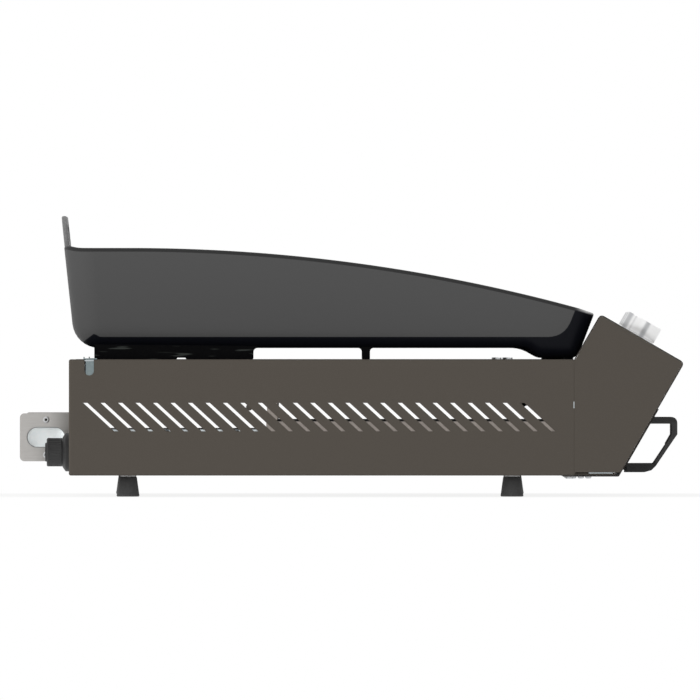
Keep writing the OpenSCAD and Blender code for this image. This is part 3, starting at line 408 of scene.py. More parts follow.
def bronze_paint():
    """Dark bronze powder coat, nearly even, with a fine sprayed skin."""
    material, tree, shader = finish_of("bronze paint", BRONZE, 0.6, Specular_IOR_Level=0.12)
    uneven(tree, shader, *BRONZE_TONES, PAINT_GRAIN, *PAINT_ROUGH)
    skin(tree, shader, *PAINT_SKIN)
    return material, "bronze_paint"


def panel_paint():
    """The same coat on a sheet's outer face, painted shade on its cut edges, and bright bare metal inside.

    The sheet's own attribute goes from 0 on its outer face to 1 on its inner face.
    """
    material, tree, shader = finish_of("panel paint", BRONZE, 0.6, Specular_IOR_Level=0.12)
    inner = own_value(tree, "inner")
    bare, cut = over(tree, inner, 0.98, 0.01), over(tree, inner, 0.05, 0.03)
    # The cut edges are darker as painted shade.
    coat = mix_colour(tree, cut, mottled(tree, PAINT_GRAIN, *BRONZE_TONES), shade(48, 44, 41))
    coat_rough = grained(tree, PAINT_GRAIN * GLOSS_GRAIN, *PAINT_ROUGH)
    feed(shader, Base_Color=mix_colour(tree, bare, coat, shade(243, 245, 247)), Metallic=bare)
    feed(shader, Roughness=ramp(tree, bare, 0.0, 1.0, coat_rough, 0.12))
    skin(tree, shader, *PAINT_SKIN)
    return material, "bronze_paint"


def pan_coating():
    """Cast pan: grey outside, black below and in front, painted shade under the rim, and a dark cooking side.

    The black is partly painted shade of faces turned down and forward. The pan's own attributes say how far
    each point is inside the black part and below the rim, whether it is on the cooking side, and where the
    rim's highlight is painted.
    """
    material, tree, shader = finish_of("pan coating", grey(76), 0.5, Specular_IOR_Level=0.08)
    below_rim = own_value(tree, "below_rim")
    wall = mix_colour(tree, over(tree, below_rim, 45 * MM, 50 * MM), grey(76), grey(72))
    # A band of painted shade under the rim.
    outside = mix_colour(tree, over(tree, below_rim, 3.7 * MM, 0.4 * MM), grey(48), wall)
    # Black below and in front, which also paints the shade of faces turned down and forward.
    black = over(tree, own_value(tree, "black"), 0.0, 0.4 * MM)
    outside = mix_colour(tree, black, outside, shade(11, 12, 17))
    # A painted highlight along the front rim.
    outside = mix_colour(tree, own_value(tree, "painted_highlight"), outside, grey(196))
    cooking_side = mottled(tree, 500, shade(52, 52, 53), shade(58, 58, 59))
    inside = over(tree, own_value(tree, "inside"), 0.5, 0.1)
    feed(shader, Base_Color=mix_colour(tree, inside, outside, cooking_side))
    feed(shader, Roughness=grained(tree, 60, 0.42, 0.5))
    skin(tree, shader, *CAST_SKIN)
    return material, "pan_coating"


def black_casting():
    """Black legs and bushes under the pan, with a few faint painted glints along them."""
    material, tree, shader = finish_of("black casting", shade(3, 3, 4), 0.4, Specular_IOR_Level=0.04)
    # Faint glints of painted highlight drawn out along the legs.
    noise = node(tree, "TexNoise", {"Vector": drawn_out(tree, 0.09), "Scale": 420.0, "Detail": 0.0})
    painted_glint = ramp(tree, noise.outputs[0], 0.68, 0.78)
    black = mottled(tree, 400, shade(2, 2, 3), shade(5, 5, 6))
    feed(shader, Base_Color=mix_colour(tree, painted_glint, black, shade(52, 55, 53)))
    feed(shader, Roughness=grained(tree, 400 * GLOSS_GRAIN, 0.34, 0.46))
    return material, "pan_coating"


def grip_casting():
    """Lighter grey of the raised grip."""
    material, tree, shader = finish_of("grip casting", grey(118), 0.5, Specular_IOR_Level=0.25)
    uneven(tree, shader, grey(110), grey(126), 500, 0.45, 0.55)
    skin(tree, shader, *CAST_SKIN)
    return material, "pan_coating"


def zinc_plate():
    """Galvanised sheet with the faint patches of zinc crystals."""
    material, tree, shader = finish_of("zinc plate", shade(190, 197, 200), 0.42, Metallic=1.0)
    cells = node(tree, "TexVoronoi", {"Vector": object_place(tree), "Scale": 160.0}, feature="F1")
    patches = mix_colour(tree, cells.outputs["Color"], shade(176, 184, 188), shade(205, 211, 213))
    feed(shader, Base_Color=patches, Roughness=grained(tree, 200, 0.34, 0.5))
    return material, "zinc_plate"


def foot_rubber():
    """Matt moulded rubber."""
    material, tree, shader = finish_of("foot rubber", grey(62), 0.6, Specular_IOR_Level=0.3)
    uneven(tree, shader, grey(58), grey(66), 700, 0.5, 0.65)
    skin(tree, shader, *RUBBER_SKIN)
    return material, "foot_rubber"


def pressed_zinc():
    """Dull bright zinc of the pressed cups, with painted shade at the mouth, where their attribute is 1."""
    material, tree, shader = finish_of("cup zinc", shade(248, 253, 254), 0.4, Specular_IOR_Level=0.5)
    colour = mottled(tree, 300, shade(246, 252, 253), shade(252, 255, 255))
    # Painted shade in the crease where the cup's mouth meets the plate.
    feed(shader, Base_Color=mix_colour(tree, own_value(tree, "mouth"), colour, shade(96, 99, 100)))
    feed(shader, Roughness=grained(tree, 110, 0.35, 0.5))
    return material, "zinc_plate"


def moulded_plastic(name, middle, lowest, steps):
    """Black plastic with a fine satin grain, from its lowest part's colour up to the colour of each step.

    A step is the height at which the next colour starts, the height at which it is reached, and the colour:
    painted light and shade by height.
    """
    material, tree, shader = finish_of(name, middle, 0.5, Specular_IOR_Level=0.35)
    colour = lowest
    for start, end, upper in steps:
        colour = mix_colour(tree, ramp(tree, place_along(tree, 2), start, end), colour, upper)
    feed(shader, Base_Color=colour, Roughness=grained(tree, 220, 0.42, 0.55))
    skin(tree, shader, *PLASTIC_SKIN)
    return material, "black_plastic"


def module_black():
    """Plastic of the ignition module, paler towards its lower side as painted light from below."""
    low, high = span("igniter_cap", 2)
    return moulded_plastic("module plastic", grey(40), grey(52), [(low, high, grey(27))])


def handle_plastic():
    """Plastic of the handle, with painted light and shade: palest on its upright part, and darkest on its
    lower arm.
    """
    low, high = span("drawer_handle", 2)
    # Painted light on the upright part, painted shade on the upper and lower arms.
    upright = (low + 7 * MM, low + 10 * MM, grey(58))
    upper_arm = (high - 8 * MM, high - 5 * MM, grey(47))
    return moulded_plastic("handle plastic", grey(46), grey(30), [upright, upper_arm])


def brushed_lug():
    """Stainless plate brushed along Y, a little darker towards the body as a painted reflection of it."""
    material, tree, shader = finish_of("brushed lug", shade(192, 189, 186), 0.38, Metallic=1.0)
    lines = use(tree, brushing, {"Fineness": 2600, "Depth": 0.006 * MM}).outputs
    colour = mix_colour(tree, lines["Value"], shade(172, 169, 166), shade(193, 191, 188))
    # Painted reflection of the dark body, darkening the plate next to it.
    near = ramp(tree, place_along(tree, 1), rear_y, rear_y + 20 * MM, 0.75, 0.0)
    feed(shader, Base_Color=mix_colour(tree, near, colour, shade(150, 148, 145)), Normal=lines["Normal"])
    return material, "brushed_lug"


def knob_metal():
    """Bright turned metal with bands of painted reflection along the knob, read from the knob's own
    attribute.
    """
    material, tree, shader = finish_of("knob metal", grey(252), 0.3, Metallic=0.4)
    feed(shader, Base_Color=mix_colour(tree, own_value(tree, "reflection_band"), grey(253), shade(192, 193, 195)))
    return material, "knob_metal"


def metal(name, slot, first, second, rough_low, rough_high):
    """Plain metal whose colour and gloss change a little over the surface."""
    material, tree, shader = finish_of(name, first, rough_low, Metallic=1.0)
    uneven(tree, shader, first, second, 350, rough_low, rough_high)
    return material, slot


def plain(name, slot, first, second, rough_low, rough_high, specular):
    """Plain finish that isn't metal, with a slight change of colour and gloss."""
    material, tree, shader = finish_of(name, first, rough_low, Specular_IOR_Level=specular)
    uneven(tree, shader, first, second, 400, rough_low, rough_high)
    return material, slot


paint = bronze_paint()
panel_coat = panel_paint()
coating = pan_coating()
black_cast = black_casting()
grip_cast = grip_casting()
zinc = zinc_plate()
cup_zinc = pressed_zinc()
rubber = foot_rubber()
handle_black = handle_plastic()
module_plastic = module_black()
lug_steel = brushed_lug()
knob_bright = knob_metal()
screw_steel = metal("screw steel", "screw_steel", shade(176, 178, 180), shade(200, 202, 204), 0.28, 0.4)
burner_steel = metal("burner steel", "burner_steel", shade(170, 166, 160), shade(190, 186, 180), 0.35, 0.5)
brass = metal("valve brass", "valve_brass", shade(214, 184, 120), shade(226, 198, 138), 0.28, 0.42)
cell_steel = metal("cell steel", "cell_steel", shade(120, 122, 126), shade(136, 138, 142), 0.35, 0.5)
runner_steel = metal("runner steel", "runner_steel", shade(148, 141, 135), shade(160, 152, 146), 0.45, 0.6)
locator_zinc = metal("locator zinc", "zinc_plate", shade(122, 134, 136), shade(132, 144, 146), 0.3, 0.42)
bezel_bright = metal("bezel metal", "knob_metal", grey(248), grey(253), 0.16, 0.24)
rivet_steel = metal("rivet steel", "screw_steel", shade(196, 197, 198), shade(214, 215, 216), 0.3, 0.42)
ceramic = plain("ceramic", "ceramic", shade(232, 230, 222), shade(240, 238, 231), 0.25, 0.35, 0.5)
sleeve = plain("lead sleeve", "lead_insulation", grey(28), grey(34), 0.5, 0.6, 0.4)
enamel = plain("tray enamel", "tray_enamel", shade(20, 20, 22), shade(26, 26, 28), 0.2, 0.3, 0.5)
collar_zinc = plain("collar zinc", "screw_steel", shade(218, 219, 220), shade(232, 233, 234), 0.4, 0.5, 0.4)
# Near black end edges of the drawer's front, as painted shade.
edge_shade_paint = plain("edge paint", "bronze_paint", shade(36, 34, 32), shade(42, 40, 37), *PAINT_ROUGH, 0.12)
# Near black that stands in for the shade in the rivets' holes and on the stud in front.
shade_black_pin = plain("rivet pin", "screw_steel", grey(14), grey(20), 0.5, 0.6, 0.3)


# Rounded outlines


def ring_basis(corner_steps, side_steps, end_steps):
    """Parts that each point of a rounded outline takes of its four corners, and its direction from them.

    The corners are +X+Y, -X+Y, -X-Y and +X-Y. Each is a quarter turn, and a straight run blends two of them.
    """
    weights, turns = [], []
    for corner in range(4):
        quarter = np.linspace(0, 90, corner_steps + 1) + 90 * corner
        run = end_steps if corner % 2 == 0 else side_steps
        blend = np.linspace(0, 1, run + 1)[1:-1]
        own = np.concatenate([np.ones(corner_steps + 1), 1 - blend])
        row = np.zeros((len(own), 4))
        row[:, corner] = own
        row[:, (corner + 1) % 4] = 1 - own
        weights.append(row)
        turns.append(np.concatenate([quarter, np.full(len(blend), 90 * (corner + 1))]))
    turns = np.radians(np.concatenate(turns))
    return np.concatenate(weights), np.stack([np.cos(turns), np.sin(turns)], axis=-1)


def rounded_ring(basis, half_x, half_y, radius, inset=0.0):
    """Closed outline of a rounded rectangle round the origin, drawn in by inset."""
    weights, direction = basis
    radius = np.maximum(radius - inset, 0)
    corner = np.array([[1, 1], [-1, 1], [-1, -1], [1, -1]]) * (np.array([half_x, half_y]) - inset - radius)
    return weights @ corner + radius * direction


# Body


FOLD_R = 2 * MM
FLANGE = 12 * MM
# The side view: its axis, its lens, the width that it shows, and how much smaller the far side looks in it
AXIS_Y, AXIS_Z = 1.15 * MM, 146.8 * MM
LENS, SENSOR = 1700, 36
FRAME_W = 700 * MM
FAR_SPREAD = 1 + 2 * half_w * SENSOR / (FRAME_W * LENS)
# Narrow strip beside a fold that keeps the flat part's shading flat
HELD = 0.5 * MM
SLOT_COUNT = 26
SLOT_PITCH = 17.48 * MM
SLOT_W = 4.2 * MM
# Height of a slot, and how far it runs forward on its way down
SLOT_H, SLOT_RUN = 28.4 * MM, 30.9 * MM
SLOT_TOP = top_z - 43.6 * MM
SLOT_REAR = 14.4 * MM
# How much further down the far side's slots go
FAR_DROP = 1.4 * MM
NOTCH_W, NOTCH_H = 9.6 * MM, 16.2 * MM
notch_y = rear_y - 20.4 * MM


def side_panel(name, side, spread):
    """Side panel: one sheet folded in along its four edges, with sloping slots and a notch for the locator.

    The grid runs down the height and along the depth. A fold is an arc of one angle for a row and one for a
    column, and both together make a round corner. The columns slope with the slots, whose cells are left out.
    The row of slots is spread by a share round the camera's axis, so that both rows line up in the side view.
    """
    # Angles of a fold's rows, from its flange to the flat web
    fold = np.linspace(90, 15, 6)
    top_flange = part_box(name)[1][0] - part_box(name)[0][0]
    slot = rear_y - SLOT_REAR - SLOT_PITCH * np.arange(SLOT_COUNT)
    slot_edges = AXIS_Y + (np.stack([slot, slot - SLOT_W], axis=-1).ravel() - AXIS_Y) * spread
    drop = FAR_DROP if side > 0 else 0
    slot_top, slot_low = (AXIS_Z + (z - AXIS_Z) * spread for z in (SLOT_TOP, SLOT_TOP - SLOT_H - drop))
    notch_edges = notch_y + NOTCH_W / 2 * np.cos(np.linspace(0, math.pi, 9))
    y_rear, y_front = rear_y - FOLD_R, seam_y + FOLD_R
    beside = np.linspace(y_rear, notch_edges[0], 4)[1:3]
    rear_end, front_end = [y_rear, y_rear - HELD], [y_front + HELD, y_front]
    upper = np.concatenate([rear_end, beside, notch_edges, slot_edges[2:], front_end])
    below_notch = np.linspace(slot_edges[1], slot_edges[2], 11)[1:-1]
    at_slots = np.concatenate([rear_end, slot_edges[:2], below_notch, slot_edges[2:], front_end])
    slot_foot = at_slots - SLOT_RUN * (1 + drop / SLOT_H) * spread
    slot_foot[[0, 1, -2, -1]] = at_slots[[0, 1, -2, -1]]
    web_y = np.stack([upper, upper, upper, at_slots, slot_foot, slot_foot, slot_foot])
    notch_mid = top_z - NOTCH_H + NOTCH_W / 2
    notch_low = notch_mid - np.sqrt(np.clip((NOTCH_W / 2) ** 2 - (upper - notch_y) ** 2, 0, None))
    z_top, z_base = top_z - FOLD_R, base_z + FOLD_R
    level = np.array([z_top, z_top - HELD, notch_mid, slot_top, slot_low, z_base + HELD, z_base])
    web_z = level[:, None] + np.zeros(len(upper))
    web_z[2] = notch_low
    ends = len(fold) + 1
    notch_at = ends + len(rear_end) + len(beside)
    second_slot = notch_at + len(notch_edges)
    y = np.pad(web_y, ((ends, ends), (ends, ends)), mode="edge")
    z = np.pad(web_z, ((ends, ends), (ends, ends)), mode="edge")
    z[:ends] = level[0]
    turn_y = np.radians(np.concatenate([[90], fold, np.zeros(len(upper)), -fold[::-1], [-90]]))
    turn_z = np.radians(np.concatenate([[90], fold, np.zeros(len(level)), -fold[::-1], [-90]]))[:, None]
    reach = np.zeros(y.shape)
    reach[0] = top_flange - FOLD_R
    reach[-1] = FLANGE - FOLD_R
    reach[:, [0, -1]] = FLANGE - FOLD_R

    def skin_at(radius):
        """One face of the sheet, at a radius from the middle of its folds."""
        x = half_w - FOLD_R + radius * np.cos(turn_y) * np.cos(turn_z) - reach
        along = y + radius * np.sin(turn_y) * np.cos(turn_z)
        return np.stack([side * x, along, z + radius * np.sin(turn_z)], axis=-1)

    keep = np.ones((y.shape[0] - 1, y.shape[1] - 1), bool)
    keep[[0, -1], :ends] = False
    keep[[0, -1], -ends:] = False
    keep[:ends, [0, -1]] = False
    keep[-ends:, [0, -1]] = False
    keep[: ends + 2, notch_at : second_slot - 1] = False
    starts = np.concatenate([[ends + len(rear_end)], second_slot + 2 * np.arange(SLOT_COUNT - 1)])
    keep[ends + 3, starts] = False
    solid = plate(skin_at(FOLD_R), skin_at(FOLD_R - SHEET), keep)
    values = {"inner": np.repeat([0.0, 1.0], y.size)}
    piece(name + "_folded", [solid], panel_coat, "chassis", name, attributes=values)


side_panel("side_panel_left", -1, 1.0)
side_panel("side_panel_right", 1, FAR_SPREAD)


front_y = span("drawer_front", 1)[0]
front_z = span("drawer_front", 2)[1] - SHEET * math.sin(SLOPE)


def face_y(z):
    """Place in Y of the sloping front's outer line at a height, read off the drawer's front."""
    return front_y + (front_z - z) * math.tan(SLOPE)


def open_normals(points):
    """Normals along an open line, to the left of its direction and so long that each side moves by one."""
    edge = np.diff(points, axis=0)
    edge /= np.linalg.norm(edge, axis=1, keepdims=True)
    n = np.stack([-edge[:, 1], edge[:, 0]], axis=-1)
    both = np.concatenate([n[:1] * 2, n[1:] + n[:-1], n[-1:] * 2])
    return both / (np.sum(both * both, axis=1, keepdims=True) / 2)


# Half the width of the window for the drawer's front, and its heights
WINDOW_HALF = 330 * MM
WINDOW_Z = (24.96 * MM, 89.04 * MM)
CHEEK_Z = 24.4 * MM
CHEEK_REAR = seam_y + 1.1 * MM
# Gap between a cheek and the sheet's inner face
CHEEK_GAP = 0.12 * MM
# How much further forward the back of the sheet lies at the far end
FAR_BACK = (FAR_SPREAD - 1) * (AXIS_Y - seam_y)
# Steps of each bend of the sheet, how many points its line leaves out at each end, and the window's first row
BEND_STEPS = 6
SPARE = BEND_STEPS - 1
BENDS_ABOVE = 3 * (BEND_STEPS + 1)
WINDOW_ROW = BENDS_ABOVE - SPARE


def rounded(points, radius, steps=5):
    """A closed outline whose corners are drawn round, each as far as its own sides allow."""
    points = np.asarray(points, float)
    before, after = np.roll(points, 1, axis=0) - points, np.roll(points, -1, axis=0) - points
    len_a, len_b = np.linalg.norm(before, axis=1), np.linalg.norm(after, axis=1)
    before, after = before / len_a[:, None], after / len_b[:, None]
    turn = math.pi - np.arccos(np.clip(np.sum(before * after, axis=1), -1, 1))
    reach = np.minimum(radius * np.tan(turn / 2), 0.45 * np.minimum(len_a, len_b))[:, None]
    t = np.linspace(0, 1, steps + 1)[None, :, None]
    start, end = (points + before * reach)[:, None], (points + after * reach)[:, None]
    curve = (1 - t) ** 2 * start + 2 * t * (1 - t) * points[:, None] + t**2 * end
    return curve.reshape(-1, 2)


def box_line(back):
    """Line of the control box's sheet in Y and Z: up its back, down the knob panel and front, and back below.

    Back is how far the line's rear side is moved forward, along the slope of the knob panel at its top.
    """
    low = base_z - SHEET
    corners = [
        (seam_y + 1.3 * MM - back, top_z + 0.1 * MM),
        (seam_y - 24.9 * MM - back, top_z + 45.36 * MM - back * math.tan(SLOPE)),
        (seam_y - 109.16 * MM, top_z - 3.33 * MM),
        (face_y(low), low),
        (seam_y + 12 * MM, low),
    ]
    line = rounded(corners, np.array([0.01, 5, 5, 2, 0.01]) * MM, BEND_STEPS)
    front = [(face_y(z), z) for z in WINDOW_Z[::-1]]
    return np.concatenate([line[SPARE:BENDS_ABOVE], front, line[BENDS_ABOVE:-SPARE]])


def control_box():
    """The box's sheet with a window for the drawer's front, and its two cheeks, which stand inside its bends.

    The rows of the sheet's grid follow its line, and the columns run across the width.
    """
    line, far_line = box_line(0), box_line(FAR_BACK)
    across = np.array([-half_w, -WINDOW_HALF, WINDOW_HALF, half_w])
    share = ((across + half_w) / (2 * half_w))[None, :, None]

    def spread_over(near, far):
        """Grid from a line at the near end and one at the far end."""
        yz = near[:, None] * (1 - share) + far[:, None] * share
        x = np.broadcast_to(across[None, :, None], yz.shape[:2] + (1,))
        return np.concatenate([x, yz], axis=-1)

    def inside_of(outer):
        """Line of the sheet's inner face."""
        return outer + open_normals(outer) * SHEET

    keep = np.ones((len(line) - 1, len(across) - 1), bool)
    keep[WINDOW_ROW, 1] = False
    sheet = plate(spread_over(line, far_line), spread_over(inside_of(line), inside_of(far_line)), keep)
    bare = {"inner": np.repeat([0.0, 1.0], len(line) * len(across))}
    piece("control_fascia_folded", [sheet], panel_coat, "chassis", "control_fascia", attributes=bare)
    low_y = face_y(CHEEK_Z) + SHEET / math.cos(SLOPE)
    for name, side, own in (("control_side_left", -1, line), ("control_side_right", 1, far_line)):
        edge = (own + open_normals(own) * (SHEET + CHEEK_GAP))[: WINDOW_ROW + 1]
        below = [[low_y, CHEEK_Z], [CHEEK_REAR, CHEEK_Z]]
        outline = np.concatenate([[[CHEEK_REAR, edge[0, 1]]], edge[1:], below])
        x0, x1 = sorted([side * half_w, side * (half_w - SHEET)])
        solid = slab(outline, x0, x1, 0.12 * MM, steps=2)
        faces_in = [0.0, 1.0] if side < 0 else [1.0, 0.0]
        values = {"inner": np.repeat(faces_in, len(solid[0]) // 2)}
        piece(name + "_sheet", [solid], panel_coat, "chassis", name, attributes=values)


control_box()


# Griddle pan


PAN_T = 6.1 * MM
plate_z = top_z + 11.3 * MM
rim_z = top_z + 111.4 * MM
RIM_R = 1700 * MM
rim_peak_y = rear_y - 61.2 * MM
WALL_LEAN = math.tan(math.radians(6.1))
FRONT_LEAN = math.tan(math.radians(20.9))
TROUGH_DROP = 10 * MM
TROUGH_FLAT = 33.5 * MM
TROUGH_D = 57.3 * MM
# The pan's outline at the height of the plate: half its width, and its rear and front
pan_half = half_w - 16 * MM
pan_rear_y = rear_y - 5.8 * MM
pan_front_y = seam_y - 2 * MM
# Radii of the rear and front corners at the plate, how much they grow over the wall's height, and the least
# that is left of them where an outline is drawn in
REAR_R, REAR_GROWTH = 27 * MM, 3 * MM
FRONT_R, FRONT_GROWTH = 14 * MM, 10 * MM
LEAST_R = 1 * MM
WALL_H = 100 * MM
# Radii of the front's lower edge, outside and inside
TOE_R, TOE_IN = 10 * MM, 4 * MM
# The short rise of the rim at its rear: its height, how far behind the plate's rear it peaks, and its width
RISE, RISE_AT, RISE_W = 2.2 * MM, 10.7 * MM, 9 * MM
drain_x, drain_y = 107.5 * MM, seam_y + 18.65 * MM
DRAIN_OPEN = 11 * MM


def rim_height(y):
    """Height of the rim: a long arc in front of its highest point, and a short rise up to the rear edge."""
    d = np.minimum(y - rim_peak_y, 0)
    front = rim_z - RIM_R + np.sqrt(RIM_R**2 - d**2)
    return front + RISE * np.exp(-(((pan_rear_y + RISE_AT - y) / RISE_W) ** 2))


def trough_at(y):
    """Drop of the plate into the grease trough in front: level, then half a cosine wave up to the plate."""
    t = np.clip((y - pan_front_y - TROUGH_FLAT) / (TROUGH_D - TROUGH_FLAT), 0, 1)
    return TROUGH_DROP * (1 + np.cos(math.pi * t)) / 2


def pan_ring(basis, q, inset):
    """Outline of the pan at the height q over the plate, drawn in by inset, both one value per point."""
    weights, direction = basis
    half = pan_half + q * WALL_LEAN - inset
    rear = pan_rear_y + q * WALL_LEAN - inset
    front = pan_front_y - (q + TROUGH_DROP) * FRONT_LEAN + inset
    rear_r = np.maximum(REAR_R + REAR_GROWTH * q / WALL_H - inset, LEAST_R)
    front_r = np.maximum(FRONT_R + FRONT_GROWTH * q / WALL_H - inset, LEAST_R)
    centre_x = np.stack([half - rear_r, rear_r - half, front_r - half, half - front_r], -1)
    centre_y = np.stack([rear - rear_r, rear - rear_r, front + front_r, front + front_r], -1)
    radius = np.stack([rear_r, rear_r, front_r, front_r], -1)
    x, y, radius = (np.sum(weights * share, axis=1) for share in (centre_x, centre_y, radius))
    return np.stack([x, y], -1) + radius[:, None] * direction


# Where the black, which is partly painted shade, ends on the pan's side: places from the body's rear, its
# heights over the body there, how far it reaches behind the pan's front, and the round that joins the two
SHADED_BLACK_AT = (-31 * MM, -25.2 * MM, -15.2 * MM, 10 * MM)
SHADED_BLACK_UP = (22.4 * MM, 25.8 * MM, 18.3 * MM, 6 * MM)
SHADED_BLACK_FRONT = 20.6 * MM
SHADED_BLACK_BLEND = 17 * MM


def inside_shaded_black(y, z):
    """How far a point of the outer side is inside the black, partly painted shade: below its level or ahead
    of its line.

    The two are joined by a round corner.
    """
    level = top_z + np.interp(y - rear_y, SHADED_BLACK_AT, SHADED_BLACK_UP)
    below = level - z
    ahead = pan_front_y - (z - plate_z + TROUGH_DROP) * FRONT_LEAN + SHADED_BLACK_FRONT - y
    h = np.clip(0.5 + 0.5 * (below - ahead) / SHADED_BLACK_BLEND, 0, 1)
    return ahead + (below - ahead) * h + SHADED_BLACK_BLEND * h * (1 - h)


def griddle_pan():
    """The pan as one surface, open only under the drain's flange.

    Its outline is carried from the middle of the underside out, round the lower corner, up the leaning wall,
    over a full round rim and back down inside.
    """
    basis = ring_basis(12, 130, 60)
    weights, direction = basis
    count = len(weights)
    lean_y = np.where(direction[:, 1] < 0, FRONT_LEAN, WALL_LEAN)
    tilt = np.arctan(direction[:, 0] ** 2 * WALL_LEAN + direction[:, 1] ** 2 * lean_y)
    ahead = np.clip(-direction[:, 1], 0, 1) ** 2
    corner = weights @ np.array([REAR_R, REAR_R, FRONT_R, FRONT_R]) * (1 - ahead) + TOE_R * ahead
    wall = PAN_T / np.cos(tilt)
    bead = wall / 2
    zero = np.zeros(count)
    base_q = -trough_at(pan_ring(basis, zero, zero)[:, 1])
    inner = np.maximum(corner - PAN_T, 0.5 * MM) * (1 - ahead) + TOE_IN * ahead
    outside = (corner, base_q + corner, corner / np.cos(tilt))
    within = (inner, base_q + PAN_T + inner, (PAN_T + inner) / np.cos(tilt))
    top_q = zero + WALL_H
    for _ in range(5):
        top_q = rim_height(pan_ring(basis, top_q, zero)[:, 1]) - plate_z
    bead_q = top_q - bead
    levels = []

    def level(q, inset, inside):
        """Adds an outline at a height over the plate."""
        levels.append((np.column_stack([pan_ring(basis, q, inset), plate_z + q]), inside))

    def round_at(corner_at, part, inside):
        """Adds an outline on a lower corner's round, whose part goes from 0 below to 1 at the wall."""
        radius, centre_q, centre_inset = corner_at
        turn = -math.pi / 2 + (math.pi / 2 - tilt) * part
        ring = pan_ring(basis, centre_q, centre_inset - radius * np.cos(turn))
        levels.append((np.column_stack([ring, plate_z + centre_q + radius * np.sin(turn)]), inside))

    def floor_at(ring, share, lift, inside):
        """Adds an outline on the plate, drawn together to a share of a ring and lifted."""
        middle = np.array([0, (pan_rear_y + pan_front_y) / 2])
        xy = middle + (ring[:, :2] - middle) * share
        levels.append((np.column_stack([xy, plate_z - trough_at(xy[:, 1]) + lift]), inside))

    shares = np.concatenate([[0, 0.35, 0.6, 0.72], np.linspace(0.76, 0.9, 14), [0.95, 1]])
    for share in shares[:-1]:
        floor_at(pan_ring(basis, outside[1], outside[2]), share, 0, 0)
    for part in np.linspace(0, 1, 9):
        round_at(outside, part, 0)
    start_q = outside[1] - corner * np.sin(tilt)
    for part in np.linspace(0, 1, 11)[1:-1]:
        level(start_q + (bead_q - start_q) * part, zero, 0)
    for turn in np.linspace(0, math.pi, 11):
        level(bead_q + bead * np.sin(turn), bead * (1 - np.cos(turn)), float(turn > math.pi * 0.55))
    start_q = within[1] - inner * np.sin(tilt)
    for part in np.linspace(0, 1, 11)[1:-1]:
        level(bead_q + (start_q - bead_q) * part, wall, 1)
    for part in np.linspace(1, 0, 9):
        round_at(within, part, 1)
    for share in shares[:-1][::-1]:
        floor_at(pan_ring(basis, within[1], within[2]), share, PAN_T, 1)
    grid = np.stack([ring for ring, _ in levels])
    points, faces = tube(grid)
    faces = np.array(faces)
    middle = points[faces].mean(axis=1) - [drain_x, drain_y, plate_z]
    in_drain = (np.hypot(middle[:, 0], middle[:, 1]) < DRAIN_OPEN) & (middle[:, 2] < 10 * MM)
    faces = faces[~in_drain].tolist()
    y, z = points[:, 1], points[:, 2]
    below_rim = rim_height(y) - z
    values = {
        # How far each point is inside the black, which is partly painted shade
        "black": inside_shaded_black(y, z),
        "below_rim": below_rim,
        "inside": np.repeat([inside for _, inside in levels], count),
        # Where a highlight is painted on the front rim
        "painted_highlight": np.clip((seam_y - y) / (12 * MM), 0, 1) * np.clip(2 - below_rim / (1.5 * MM), 0, 1),
    }
    piece("griddle_pan_cast", [(points, faces)], coating, "pan", "griddle_pan", attributes=values)


griddle_pan()


LEG_W = 6 * MM
leg_x = half_w - 30 * MM
# Depth of the relief in a long leg's foot
RELIEF = 1.5 * MM


def leg_outline(rear, front, head, foot_r, rear_flare, front_flare, relief=()):
    """Outline of a leg in Y and Z: its foot's ends are round, and hollow rounds flare it into the pan.

    A leg whose head is at the flares' own height would give its two upper points twice, so doubled ones go.
    """
    at_plate = min(head, plate_z)
    parts = [
        [[rear + rear_flare, head]],
        arc((rear + rear_flare, at_plate - rear_flare), rear_flare, 90, 180, 5),
        arc((rear - foot_r, top_z + foot_r), foot_r, 0, -90, 4),
        np.reshape(relief, (-1, 2)),
        arc((front + foot_r, top_z + foot_r), foot_r, -90, -180, 4),
        arc((front - front_flare, at_plate - front_flare), front_flare, 0, 90, 5),
        [[front - front_flare, head]],
    ]
    outline = np.concatenate(parts)
    return outline[np.linalg.norm(outline - np.roll(outline, 1, axis=0), axis=1) > DOUBLE]


def pan_legs(name, side):
    """Cast legs under one side of the pan: a long rear one with a relief, a post and a short front one."""
    x0, x1 = side * leg_x - LEG_W / 2, side * leg_x + LEG_W / 2
    long_rear = rear_y - 25.7 * MM
    post_rear = rear_y - 293.1 * MM
    head = plate_z + PAN_T - 0.5 * MM
    trough_head = plate_z - TROUGH_DROP + 5 * MM
    relief_at = rear_y - np.array([107.5, 108.5, 116.5, 117.5]) * MM
    relief = np.stack([relief_at, top_z + np.array([0, 1, 1, 0]) * RELIEF], axis=-1)
    spread = FAR_SPREAD if side > 0 else 1
    long_leg = leg_outline(long_rear, long_rear - 158.9 * MM, head, 1.5 * MM, 0.1 * MM, 4 * MM, relief)
    outlines = [
        [AXIS_Y, 0] + (long_leg - [AXIS_Y, 0]) * [spread, 1],
        leg_outline(post_rear, post_rear - 8.1 * MM, head, 0.8 * MM, 3.6 * MM, 3.6 * MM),
        leg_outline(seam_y + 12 * MM, seam_y + 2 * MM, trough_head, 0.8 * MM, 0.1 * MM, 0.1 * MM),
    ]
    piece(name, [slab(outline, x0, x1, 0.4 * MM) for outline in outlines], black_cast, "pan")


pan_legs("pan_legs_left", -1)
pan_legs("pan_legs_right", 1)


def drain_bush():
    """Bush of the drain: a short tube below the trough with a thin flange on its floor."""
    profile = [(10, 0), (12.5, 0), (13, 0.5), (13, 14.8), (14.6, 15.2), (14.6, 15.7), (14.2, 16), (10.4, 16)]
    profile = np.array(profile + [(10, 15.6), (10, 0)]) * MM
    origin = (drain_x, drain_y, top_z - 8 * MM)
    piece("pan_drain", [lathe(profile, origin, (0, 0, 1), steps=48)], black_cast, "pan")


drain_bush()


